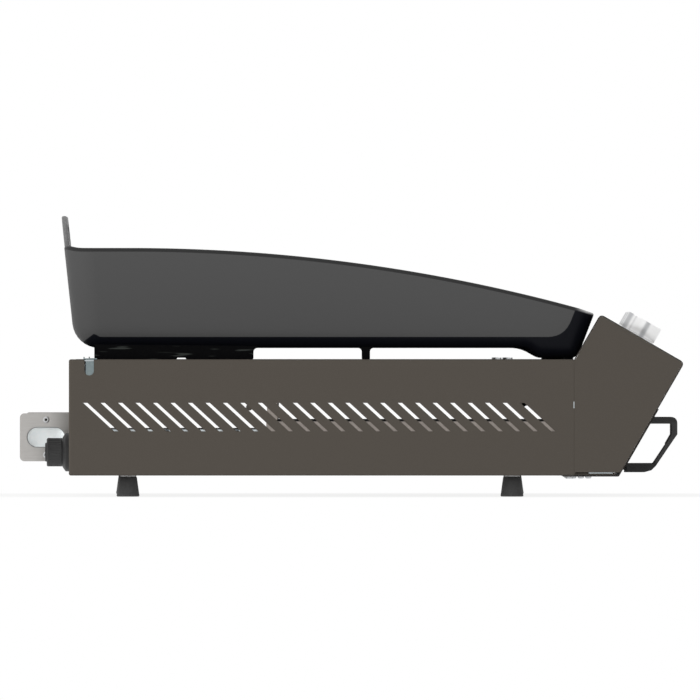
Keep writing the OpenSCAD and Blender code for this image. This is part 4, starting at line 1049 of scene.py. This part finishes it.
def rear_grip():
    """Raised grip: a rounded plate round a hand slot, leaning with the rear wall.

    Each row of the grid is an outline. The rows go from the slot over one face, round the outer edge and back
    over the other face, and a quarter round eases both edges.
    """
    half_l, height, corner = 120 * MM, 70 * MM, 26 * MM
    slot_half, slot_r, slot_down = 67.5 * MM, 7.5 * MM, 18 * MM
    ease, thick = 1.6 * MM, 4.8 * MM
    tilt = math.atan(WALL_LEAN)
    rise = (rim_z + 33.4 * MM - plate_z) / math.cos(tilt) - PAN_T * math.tan(tilt)
    back = thick / 2 - 1.1 * MM
    basis = ring_basis(12, 30, 10)
    turns = np.linspace(0, math.pi / 2, 5)
    draws = np.concatenate([[ease + 0.5 * MM], ease * (1 - np.sin(turns))])
    depths = np.concatenate([[thick / 2], thick / 2 - ease * (1 - np.cos(turns))])
    slot = [rounded_ring(basis, slot_half + d, slot_r + d, slot_r + d) + [0, rise - slot_down] for d in draws]
    edge = [rounded_ring(basis, half_l, height / 2, corner, d) + [0, rise - height / 2] for d in draws]
    rings = np.stack(slot[::-1] + edge + edge[::-1] + slot)
    depth = np.concatenate([depths[::-1], depths, -depths[::-1], -depths])[:, None] - back
    x, up = rings[..., 0], rings[..., 1]
    y = pan_rear_y + depth * math.cos(tilt) + up * math.sin(tilt)
    z = plate_z - depth * math.sin(tilt) + up * math.cos(tilt)
    piece("pan_rear_grip", [tube(np.stack([x, y, z], axis=-1), close_rows=True)], grip_cast, "pan")


rear_grip()


# Rounded shapes for the small pieces


def block(y0, y1, z0, z1, x0, x1, radius, ease):
    """A bar with round corners in side view and eased ends."""
    corners = [(y0, z0), (y1, z0), (y1, z1), (y0, z1)]
    return slab(rounded(corners, radius, 4), x0, x1, ease)


# Knobs and bezels


PANEL_AXIS = np.array([0, -math.sin(SLOPE), math.cos(SLOPE)])
KNOB_DOWN = 42 * MM
KNOB_R = 18.65 * MM
KNOB_STEPS = 120
panel_top = (seam_y - 25 * MM, top_z + 43.3 * MM)


def knob_seat(index):
    """Place of a knob on the sloping panel, on the bezel's middle and so far down from the panel's top."""
    low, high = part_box("knob_bezel_" + index)
    y = panel_top[0] - KNOB_DOWN * math.cos(SLOPE)
    z = panel_top[1] - KNOB_DOWN * math.sin(SLOPE)
    return np.array([(low[0] + high[0]) / 2, y, z])


def knob_reflection_bands(angle):
    """Bands of painted reflection on a knob: 1 in a band and 0 between, over its angle, the same on its two
    sides.
    """
    across = np.sin(angle)
    wide = np.exp(-(((across - 0.84) / 0.15) ** 4)) + np.exp(-(((across + 0.21) / 0.14) ** 4))
    return np.clip(wide + 0.45 * np.exp(-(((across - 0.53) / 0.05) ** 2)), 0, 1)


def knob(index):
    """Turned knob with a flat top: a profile turned round its shaft, finely ringed on its face."""
    r, low, high = KNOB_R / MM, 3.2, 19.4
    rings = [(5 + 0.9 * i + d, high - 0.25 + h) for i in range(12) for d, h in ((0, 0), (0.45, 0.06))]
    side = [(r - 1.4, high), (r - 0.7, high - 0.15), (r - 0.25, high - 0.5), (r, high - 1.2), (r, low + 0.6)]
    middle = [(0, high - 0.7), (4.3, high - 0.7), (4.7, high - 0.6)]
    edge = [(r - 2.2, high - 0.25), (r - 1.9, high)]
    shaft = [(r - 0.2, low + 0.15), (r - 0.8, low), (3, low), (3, -24), (0, -24)]
    profile = np.array(middle + rings + edge + side + shaft) * MM
    angle = np.linspace(0, 2 * math.pi, KNOB_STEPS, endpoint=False)
    on_side = np.abs(profile[:, 0] - KNOB_R) < 0.3 * MM
    # Bands of painted reflection on the knob's side.
    values = on_side[:, None] * knob_reflection_bands(angle)[None]
    solid = lathe(profile, knob_seat(index), PANEL_AXIS, steps=KNOB_STEPS)
    name = "knob_" + index
    piece(name + "_turned", [solid], knob_bright, name, name, attributes={"reflection_band": values.ravel()})


def bezel(index):
    """Bezel round a knob: a low ring with a stepped and sloping face."""
    profile = [(19.65, 0), (29, 0), (29, 1.0), (28.7, 1.4), (27.6, 2.0), (27, 2.15), (23.2, 2.85)]
    profile += [(22.4, 3.0), (20.1, 3.0), (19.7, 2.7), (19.65, 2.2), (19.65, 0)]
    profile = np.array(profile) * MM
    name = "knob_bezel_" + index
    solid = lathe(profile, knob_seat(index), PANEL_AXIS, steps=KNOB_STEPS)
    piece(name + "_turned", [solid], bezel_bright, "chassis", name)


for place in ("left", "center", "right"):
    knob(place)
    bezel(place)


# Feet, screws and handle


def foot(name):
    """Rubber foot turned round an upright axis through the middle of its CAD node, hollow for its screw.

    On the right side it stands further from the camera's axis, as the slots do there.
    """
    profile = [(0, 5), (3.4, 5), (3.7, 4.7), (3.8, 0.4), (4.2, 0), (10.3, 0), (11.1, 0.3), (11.5, 1.1)]
    profile += [(11.1, 3.6), (10.7, 6.5), (9.6, 14.5), (9.0, 18.9), (8.8, 19.5), (8.2, 19.9), (0, 19.9)]
    low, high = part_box(name)
    x, y = (low[0] + high[0]) / 2, (low[1] + high[1]) / 2
    spread = FAR_SPREAD if x > 0 else 1
    origin = (x, AXIS_Y + (y - AXIS_Y) * spread, low[2])
    solid = lathe(np.array(profile) * MM, origin, (0, 0, 1), steps=72)
    piece(name + "_turned", [solid], rubber, "chassis", name)


for name in nodes:
    if name.startswith("foot_") and name != "foot_screws":
        foot(name)


def seam_screws():
    """Three domed screw heads with a round socket under each seam."""
    profile = [(0, 0.35), (0.38, 0.35), (0.42, 0.9), (0.5, 1), (0.75, 0.93), (0.95, 0.6), (1, 0.15)]
    profile = np.array(profile + [(1, 0), (0, 0)]) * [3.2 * MM, 2 * MM]
    heads = []
    for x in (30 * MM - half_w, half_w - 30 * MM):
        for y in (2 * MM, -5.5 * MM, -13 * MM):
            heads.append(lathe(profile, (x, seam_y + y, base_z - SHEET), (0, 0, -1), steps=32))
    piece("seam_screws", heads, screw_steel, "chassis")


# Half the handle's width, and the width of each loop
HANDLE_HALF = 80 * MM
HANDLE_END = 14 * MM


def handle():
    """Handle of the drawer: two D-shaped end loops and the bar between them, all with eased edges.

    Each loop is drawn out from the camera's axis by the share that the side view takes off at its distance.
    """
    axis = np.array([0, AXIS_Y, AXIS_Z])
    step = 0.3 * MM

    def lines_at(x):
        """Outlines of a loop and of the bar, sized for their place across the width."""
        share = 1 + (FAR_SPREAD - 1) * (half_w + x) / (2 * half_w)
        low, high = axis + (np.array(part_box("drawer_handle")) - axis) * share
        top, bottom, out, inner = high[2], low[2] - 0.8 * MM, low[1] + 0.7 * MM, low[1] + 6.8 * MM
        low_in, top_in, knee = bottom + 9.3 * MM, top - 7 * MM, top - 17.8 * MM
        toe = face_y(low_in) - 20.6 * MM
        heel = face_y(bottom) - 7 * MM
        heel_z = min(bottom + 7 * MM / math.tan(SLOPE), low_in - 1.2 * MM)
        loop = [(face_y(top), top), (out, top), (out, knee), (out + 1.4 * MM, knee - 2 * MM)]
        loop += [(toe - 11.5 * MM, bottom + 6.2 * MM), (toe - 7 * MM, bottom + 1.9 * MM), (toe, bottom)]
        loop += [(heel, bottom), (heel, heel_z), (face_y(low_in), low_in), (toe - 9.7 * MM, low_in)]
        loop += [(inner, knee), (inner, top_in), (face_y(top_in), top_in)]
        bar_low = knee - 10.2 * MM
        bar = [(inner, top - step), (out + 4.8 * MM, top - step), (out + step, top - 4.8 * MM)]
        bar += [(out + step, knee), (out + 1.7 * MM, knee - 2 * MM), (out + 7.8 * MM, bar_low)]
        bar += [(inner + 5.9 * MM, bar_low), (inner, knee)]
        return loop, bar

    near_loop, bar = lines_at(-HANDLE_HALF)
    far_loop = lines_at(HANDLE_HALF)[0]
    radii, bar_radii = np.full(len(near_loop), 2 * MM), np.full(len(bar), 2.4 * MM)
    radii[1], bar_radii[2] = 7 * MM, 5 * MM
    radii[[7, 8]] = 0.8 * MM
    bar_end = HANDLE_HALF - HANDLE_END + 1 * MM
    parts = [slab(rounded(bar, bar_radii), -bar_end, bar_end, 0.1 * MM)]
    for x, loop in ((-HANDLE_HALF, near_loop), (HANDLE_HALF - HANDLE_END, far_loop)):
        parts.append(slab(rounded(loop, radii), x, x + HANDLE_END, 0.6 * MM))
    piece("drawer_handle_moulded", parts, handle_black, "drawer", "drawer_handle")


handle()


def drawer_cover():
    """Outer sheet of the drawer's front, a little proud of the control box, and its end edges darkened as
    painted shade.
    """
    half, proud = 329 * MM, 1.3 * MM
    low, high = WINDOW_Z[0] + 2 * MM, WINDOW_Z[1] - 1.5 * MM
    y_high, y_low = face_y(high), face_y(low)
    outline = np.array([(y_high, high), (y_high - proud, high), (y_low - proud, low), (y_low, low)])
    piece("drawer_front_cover", [slab(outline, -half, half, 0.1 * MM)], paint, "drawer")
    ends = [slab(outline, x - 0.3 * MM, x + 0.3 * MM, 0.05 * MM) for x in (-half, half)]
    piece("drawer_front_ends", ends, edge_shade_paint, "drawer")


drawer_cover()


# Small parts that show in the gaps


def studs():
    """Two weld studs in each side panel, seen through its slots: a painted one, and one in front near black
    as painted shade.
    """
    profile = np.array([(0, 0), (1, 0), (1, 0.8), (0.85, 1), (0, 1)])
    rear = ("panel_studs_rear", paint, 101.9 * MM, 89.5 * MM, 3.3 * MM)
    front = ("panel_studs_front", shade_black_pin, -172.8 * MM, 92.3 * MM, 2.2 * MM)
    for name, finish, y, z, radius in (rear, front):
        places = [(side * (half_w - SHEET), y, z) for side in (-1, 1)]
        sizes = profile * [radius, 7 * MM]
        heads = [lathe(sizes, place, (-np.sign(place[0]), 0, 0), (0, 0, 1), steps=20) for place in places]
        piece(name, heads, finish, "chassis")


def ties():
    """Small bright parts in each side: a bracket, the end of a spring clip and the lip of the pan's locator.

    The bracket closes the gap under the cheek, the clip stands in the seam and the lip in the notch. Each is
    two places in Y, two heights, two distances inwards from the body's side, and how much its ends are eased.
    """
    lip_low = top_z - 1.9 * MM
    bracket = (seam_y - 37.2 * MM, seam_y - 13.2 * MM, 23 * MM, 27 * MM, 2 * MM, 3.2 * MM, 0.1 * MM)
    clip = (seam_y + 1.1 * MM, seam_y + 2 * MM, 88.6 * MM, 95.2 * MM, 0, 0.8 * MM, 0.05 * MM)
    lip = (notch_y - 4.6 * MM, notch_y + 4.6 * MM, lip_low, lip_low + 1.3 * MM, 0.2 * MM, 1.4 * MM, 0.1 * MM)
    parts = []
    for side in (-1, 1):
        for y0, y1, z0, z1, near, deep, ease in (bracket, clip, lip):
            x0, x1 = sorted([side * (half_w - near), side * (half_w - deep)])
            parts.append(block(y0, y1, z0, z1, x0, x1, 0.3 * MM, ease))
    piece("zinc_ties", parts, zinc, "chassis")


studs()
ties()
seam_screws()


# Rear lugs, cups and rivets


LUG_T = 1.5 * MM
LUG_CORNER = 4.5 * MM
LUG_EASE = 0.25 * MM
# Half the size of the cup's window, the wall of the cup, its depth and the round at its mouth
CUP_HALF = np.array([19.2, 10.2]) * MM
CUP_WALL = 0.8 * MM
CUP_D = 5 * MM
CUP_LIP = 0.5 * MM
# Half the distance between a lug's two rivets
RIVET_UP = 17.6 * MM
lug_x = span("rear_lug_right", 0)[1]
lug_low, lug_high = span("rear_lug_right", 2)
lug_end = span("rear_lug_right", 1)[1]
lug_z = (lug_low + lug_high) / 2
cup_y = rear_y + 23.3 * MM


def cup_ring(basis, inset):
    """Outline of the cup's window, drawn in by inset."""
    return rounded_ring(basis, CUP_HALF[0], CUP_HALF[1], CUP_HALF[1], inset) + [cup_y, lug_z]


def at_x(rings, x):
    """Grid of points from outlines in Y and Z, each at its own X."""
    rings = np.stack(rings)
    x = np.broadcast_to(np.asarray(x, float)[:, None, None], rings.shape[:2] + (1,))
    return np.concatenate([x, rings], axis=-1)


def rear_lug(name, side):
    """Stainless lug: a plate with a round-ended window, and a flange folded on to the rear panel.

    The rows of the plate's grid go from the window to the outer edge and back on its other face.
    """
    basis = ring_basis(10, 16, 16)
    start = rear_y - 5 * MM
    half, half_h = (lug_end - start) / 2, (lug_high - lug_low) / 2
    middle = [start + half, lug_z]
    edge, edge_in = (rounded_ring(basis, half, half_h, LUG_CORNER, inset) + middle for inset in (0, LUG_EASE))
    window, window_out = cup_ring(basis, 0), cup_ring(basis, -LUG_EASE)
    rings = [window, window_out, edge_in, edge, edge, edge_in, window_out, window]
    outer, inner = side * lug_x, side * (lug_x - LUG_T)
    step = side * LUG_EASE
    x = [outer - step, outer, outer, outer - step, inner + step, inner, inner, inner + step]
    x0, x1 = sorted([side * (lug_x - 0.4 * MM), side * (lug_x - 18 * MM)])
    flange = block(rear_y - 1 * MM, rear_y + 0.5 * MM, lug_low, lug_high, x0, x1, 0.5 * MM, 0.2 * MM)
    piece(name + "_plate", [tube(at_x(rings, x), close_rows=True), flange], lug_steel, "chassis", name)


def lug_cup(name, side):
    """Zinc finger cup pressed from a plate behind the window.

    The rows of its grid go from the floor's middle line up a bowl of a quarter ellipse to the mouth and the
    plate's edge, and back behind.
    """
    basis = ring_basis(10, 16, 16)
    turn = np.linspace(0, math.pi / 2, 13)
    bowl = 0.8 * MM + 0.74 * CUP_HALF[1] * (1 - np.cos(turn))
    inset = np.concatenate([np.array([-1.2, -0.3, 0, 0.3]) * MM, bowl, [CUP_HALF[1]]])
    mouth_depth = np.array([0, 0, 0.15, 0.3, 0.4]) * MM
    depth = np.concatenate([mouth_depth, CUP_LIP + CUP_D * np.sin(turn), [CUP_LIP + CUP_D]])
    edge = rounded_ring(basis, 20.7 * MM, 22.05 * MM, 2 * MM) + [cup_y, lug_z]
    rings = [edge] + [cup_ring(basis, i) for i in inset]
    face = side * (lug_x - LUG_T)
    x = np.concatenate([(face - side * depth)[::-1], face - side * (depth + CUP_WALL)])
    in_mouth = np.arange(len(rings)) < len(mouth_depth)
    # The rings at the mouth carry the painted shade.
    values = {"mouth": np.repeat(np.concatenate([in_mouth[::-1], in_mouth]).astype(float), len(edge))}
    solid = tube(at_x(rings[::-1] + rings, x))
    piece(name + "_pressed", [solid], cup_zinc, "chassis", name, attributes=values)


def rivets():
    """Blind rivets of the lugs: round heads with a hole, and the broken pin down in it, near black as painted
    shade.
    """
    head = [(1.45, -3), (1.45, 0.7), (1.7, 0.95), (2.1, 1.0), (2.6, 0.9), (3.1, 0.6), (3.3, 0.25)]
    head = np.array(head + [(3.3, 0), (2.4, 0), (2.4, -3), (1.45, -3)]) * MM
    pin = np.array([(0, 0.1), (1.0, 0.1), (1.4, -0.1), (1.45, -2), (0, -2)]) * MM
    up = (0, 0, 1)
    heads, pins = [], []
    for side in (-1, 1):
        on_plate = (side * lug_x, cup_y, (side, 0, 0))
        on_flange = (side * (lug_x - LUG_T - 9 * MM), rear_y + 0.5 * MM, (0, 1, 0))
        for x, y, axis in (on_plate, on_flange):
            for z in (lug_z - RIVET_UP, lug_z + RIVET_UP):
                heads.append(lathe(head, (x, y, z), axis, up, steps=36))
                pins.append(lathe(pin, (x, y, z), axis, up, steps=24))
    piece("lug_rivet_heads", heads, rivet_steel, "chassis", "lug_rivets")
    piece("lug_rivet_pins", pins, shade_black_pin, "chassis")


for place, side in (("left", -1), ("right", 1)):
    rear_lug("rear_lug_" + place, side)
    lug_cup("lug_cup_" + place, side)
rivets()


# Ignition module


def ignition_module():
    """Housing with its round flange, ribbed battery cap and push button, each turned round one level axis.

    The third value of the cap's points says how deep the ribs are there.
    """
    low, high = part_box("igniter_cap")
    origin = ((low[0] + high[0]) / 2, rear_y, (low[2] + high[2]) / 2)
    housing = [(0, -58), (10.6, -58), (11, -57.6), (11, -1), (19.25, -1), (19.25, 3.0), (19.0, 3.6)]
    housing += [(18.5, 4), (16.5, 5.4), (14.6, 6.6), (14.2, 6.75), (12, 6.8), (12, 17), (11.5, 17.5)]
    housing += [(7.5, 17.5), (7.5, -53), (0, -53)]
    cap = [(12.1, 6.9, 0), (13.9, 6.9, 0), (14.2, 7.2, 0), (14.3, 7.8, 0), (14.3, 8.4, 0), (14.3, 8.7, 1)]
    cap += [(14.3, 20.2, 1), (14.3, 20.5, 0), (14.2, 21.3, 0), (13.9, 21.9, 0), (13.2, 22.3, 0)]
    cap += [(10.1, 22.3, 0), (9.75, 22.1, 0), (9.7, 21.7, 0), (9.7, 21.1, 0), (12.1, 21.0, 0), (12.1, 6.9, 0)]
    button = [(0, 19.9), (9.5, 19.9), (9.5, 23.1), (9.3, 23.6), (8.8, 23.95), (8.2, 24), (7.2, 23.8)]
    button += [(0, 23.6)]
    axis, up = (0, 1, 0), (0, 0, 1)

    def ribs(angle):
        """Thirty ribs round the cap, as a depth below its radius."""
        return -0.28 * MM * (1 + np.cos(30 * angle))

    housing = lathe(np.array(housing) * MM, origin, axis, up)
    cap = lathe(np.array(cap) * [MM, MM, 1], origin, axis, up, steps=240, ripple=ribs)
    button = lathe(np.array(button) * MM, origin, axis, up)
    for name, solid in {"igniter_housing": housing, "igniter_cap": cap, "igniter_button": button}.items():
        body = "chassis" if name == "igniter_housing" else name
        piece(name + "_moulded", [solid], module_plastic, body, name)


ignition_module()


# Pieces shown as the CAD gives them, with their finishes


def dress(finish, *names):
    """Gives CAD nodes that are shown as they are a finish."""
    material, slot = finish
    for name in names:
        mesh = nodes[name].data
        mesh.materials.clear()
        mesh.materials.append(material)


def soften(obj, width):
    """Rounds the crisp edges of a piece by a small width."""
    bevel = obj.modifiers.new("soft edges", "BEVEL")
    bevel.width = width
    bevel.segments = 2
    bevel.limit_method = "ANGLE"
    bevel.angle_limit = math.radians(40)
    bevel.harden_normals = True
    bevel.use_clamp_overlap = True


dress(paint, "rear_panel", "base_panel", "firewall")
dress(paint, "crossbar_front", "burner_shelf", "drawer_front")
dress(zinc, "heat_shield")
dress(locator_zinc, "pan_locator_left", "pan_locator_right")
dress(burner_steel, *[name for name in nodes if name.startswith("burner_") and name != "burner_shelf"])
dress(brass, *[name for name in nodes if name.startswith("valve_")], "gas_orifices", "gas_inlet")
dress(screw_steel, "gas_manifold", "supply_pipe", "base_screws", "flange_screws", "drawer_screws")
dress(collar_zinc, "foot_screws")
dress(cell_steel, "igniter_battery")
dress(ceramic, "ignition_electrodes")
dress(sleeve, "ignition_leads")
dress(runner_steel, "drawer_runner_left", "drawer_runner_right", "crossbar_middle")
dress(enamel, "grease_tray")
for name in ("drawer_front", "pan_locator_left", "pan_locator_right"):
    soften(nodes[name], 0.25 * MM)


# Floor, light and camera


WHITE = (1.0, 1.0, 1.0, 1.0)
# The floor's disc, and the stretch over which it goes over to plain white
FLOOR_R = 6
SHADOW_R, CLEAR_R = 0.35, 0.7


def emptied(owner):
    """Node tree of a new material or world, without its first nodes."""
    owner.use_nodes = True
    owner.node_tree.nodes.clear()
    return owner.node_tree


def strength_for(tree, level, *kinds):
    """Strength that is 1 for the named kinds of rays, such as the camera's, and level for all others."""
    rays = node(tree, "LightPath").outputs
    seen = rays[kinds[0]]
    for kind in kinds[1:]:
        seen = node(tree, "Math", {0: seen, 1: rays[kind]}, operation="ADD", use_clamp=True).outputs[0]
    return ramp(tree, seen, 0.0, 1.0, level, 1.0)


def floor(level):
    """Pale floor that keeps the soft shadow near the object and goes over to plain white away from it.

    It is a flat disc of rings. The shadow's part is a little longer along Y than it is wide.
    """
    material = bpy.data.materials.new("floor")
    tree = emptied(material)
    diffuse = node(tree, "BsdfDiffuse", {"Color": WHITE})
    strength = strength_for(tree, level, "Is Camera Ray", "Is Glossy Ray")
    glow = node(tree, "Emission", {"Color": WHITE, "Strength": strength})
    away = node(tree, "VectorMath", {0: drawn_out(tree, 0.8)}, operation="LENGTH").outputs["Value"]
    fade = ramp(tree, away, SHADOW_R, CLEAR_R, 0.86, 1.0, interpolation_type="SMOOTHSTEP")
    both = node(tree, "MixShader", {0: fade, 1: diffuse.outputs[0], 2: glow.outputs[0]})
    node(tree, "OutputMaterial", {"Surface": both.outputs[0]})
    a = np.linspace(0, 2 * math.pi, 96, endpoint=False)
    rings = np.linspace(0, FLOOR_R, 13)[:, None, None] * np.stack([np.cos(a), np.sin(a), 0 * a], axis=-1)
    points, faces = tube(rings)
    mesh = bpy.data.meshes.new("floor")
    mesh.from_pydata(points.tolist(), [], [face[::-1] for face in faces])
    merge(mesh, outwards=False)
    mesh.materials.append(material)
    return placed("floor", mesh)


def light(name, place, target, size_x, size_y, power, mirrored=True):
    """Soft area lamp that the camera doesn't see, and that gloss doesn't show unless it is mirrored."""
    data = bpy.data.lights.new(name, "AREA")
    data.shape = "RECTANGLE"
    data.size, data.size_y = size_x, size_y
    data.energy = power
    obj = placed(name, data)
    obj.location = place
    aim = Vector(target) - Vector(place)
    obj.rotation_euler = aim.to_track_quat("-Z", "Y").to_euler()
    obj.visible_camera = False
    obj.visible_glossy = mirrored


def world(level):
    """White round the object for the camera and for reflections, and a dimmer even light for its surfaces."""
    made = bpy.data.worlds.new("studio")
    tree = emptied(made)
    strength = strength_for(tree, level, "Is Camera Ray", "Is Glossy Ray", "Is Transmission Ray")
    back = node(tree, "Background", {"Color": WHITE, "Strength": strength})
    node(tree, "OutputWorld", {"Surface": back.outputs[0]})
    bpy.context.scene.world = made


def camera():
    """Level camera far out on the user's left, so that the side view has next to no perspective."""
    data = bpy.data.cameras.new("camera")
    data.lens, data.sensor_width = LENS, SENSOR
    data.clip_start, data.clip_end = 1, 200
    obj = placed("camera", data)
    obj.location = (-half_w - FRAME_W * LENS / SENSOR, AXIS_Y, AXIS_Z)
    obj.rotation_euler = (math.pi / 2, 0, -math.pi / 2)
    bpy.context.scene.camera = obj


floor(0.75)
world(0.42)
MIDDLE, REAR_PART = (0, 0, 0.15), (0, 0.2, 0.15)
light("side lamp", (-2.4, -0.3, 0.45), MIDDLE, 2.2, 0.7, 19, mirrored=False)
light("top lamp", (0.3, -0.4, 2.2), MIDDLE, 1.8, 1.8, 9)
light("rear lamp", (-1.0, 2.2, 0.6), REAR_PART, 1.2, 0.8, 26, mirrored=False)
camera()
bpy.context.scene.view_settings.view_transform = "Standard"
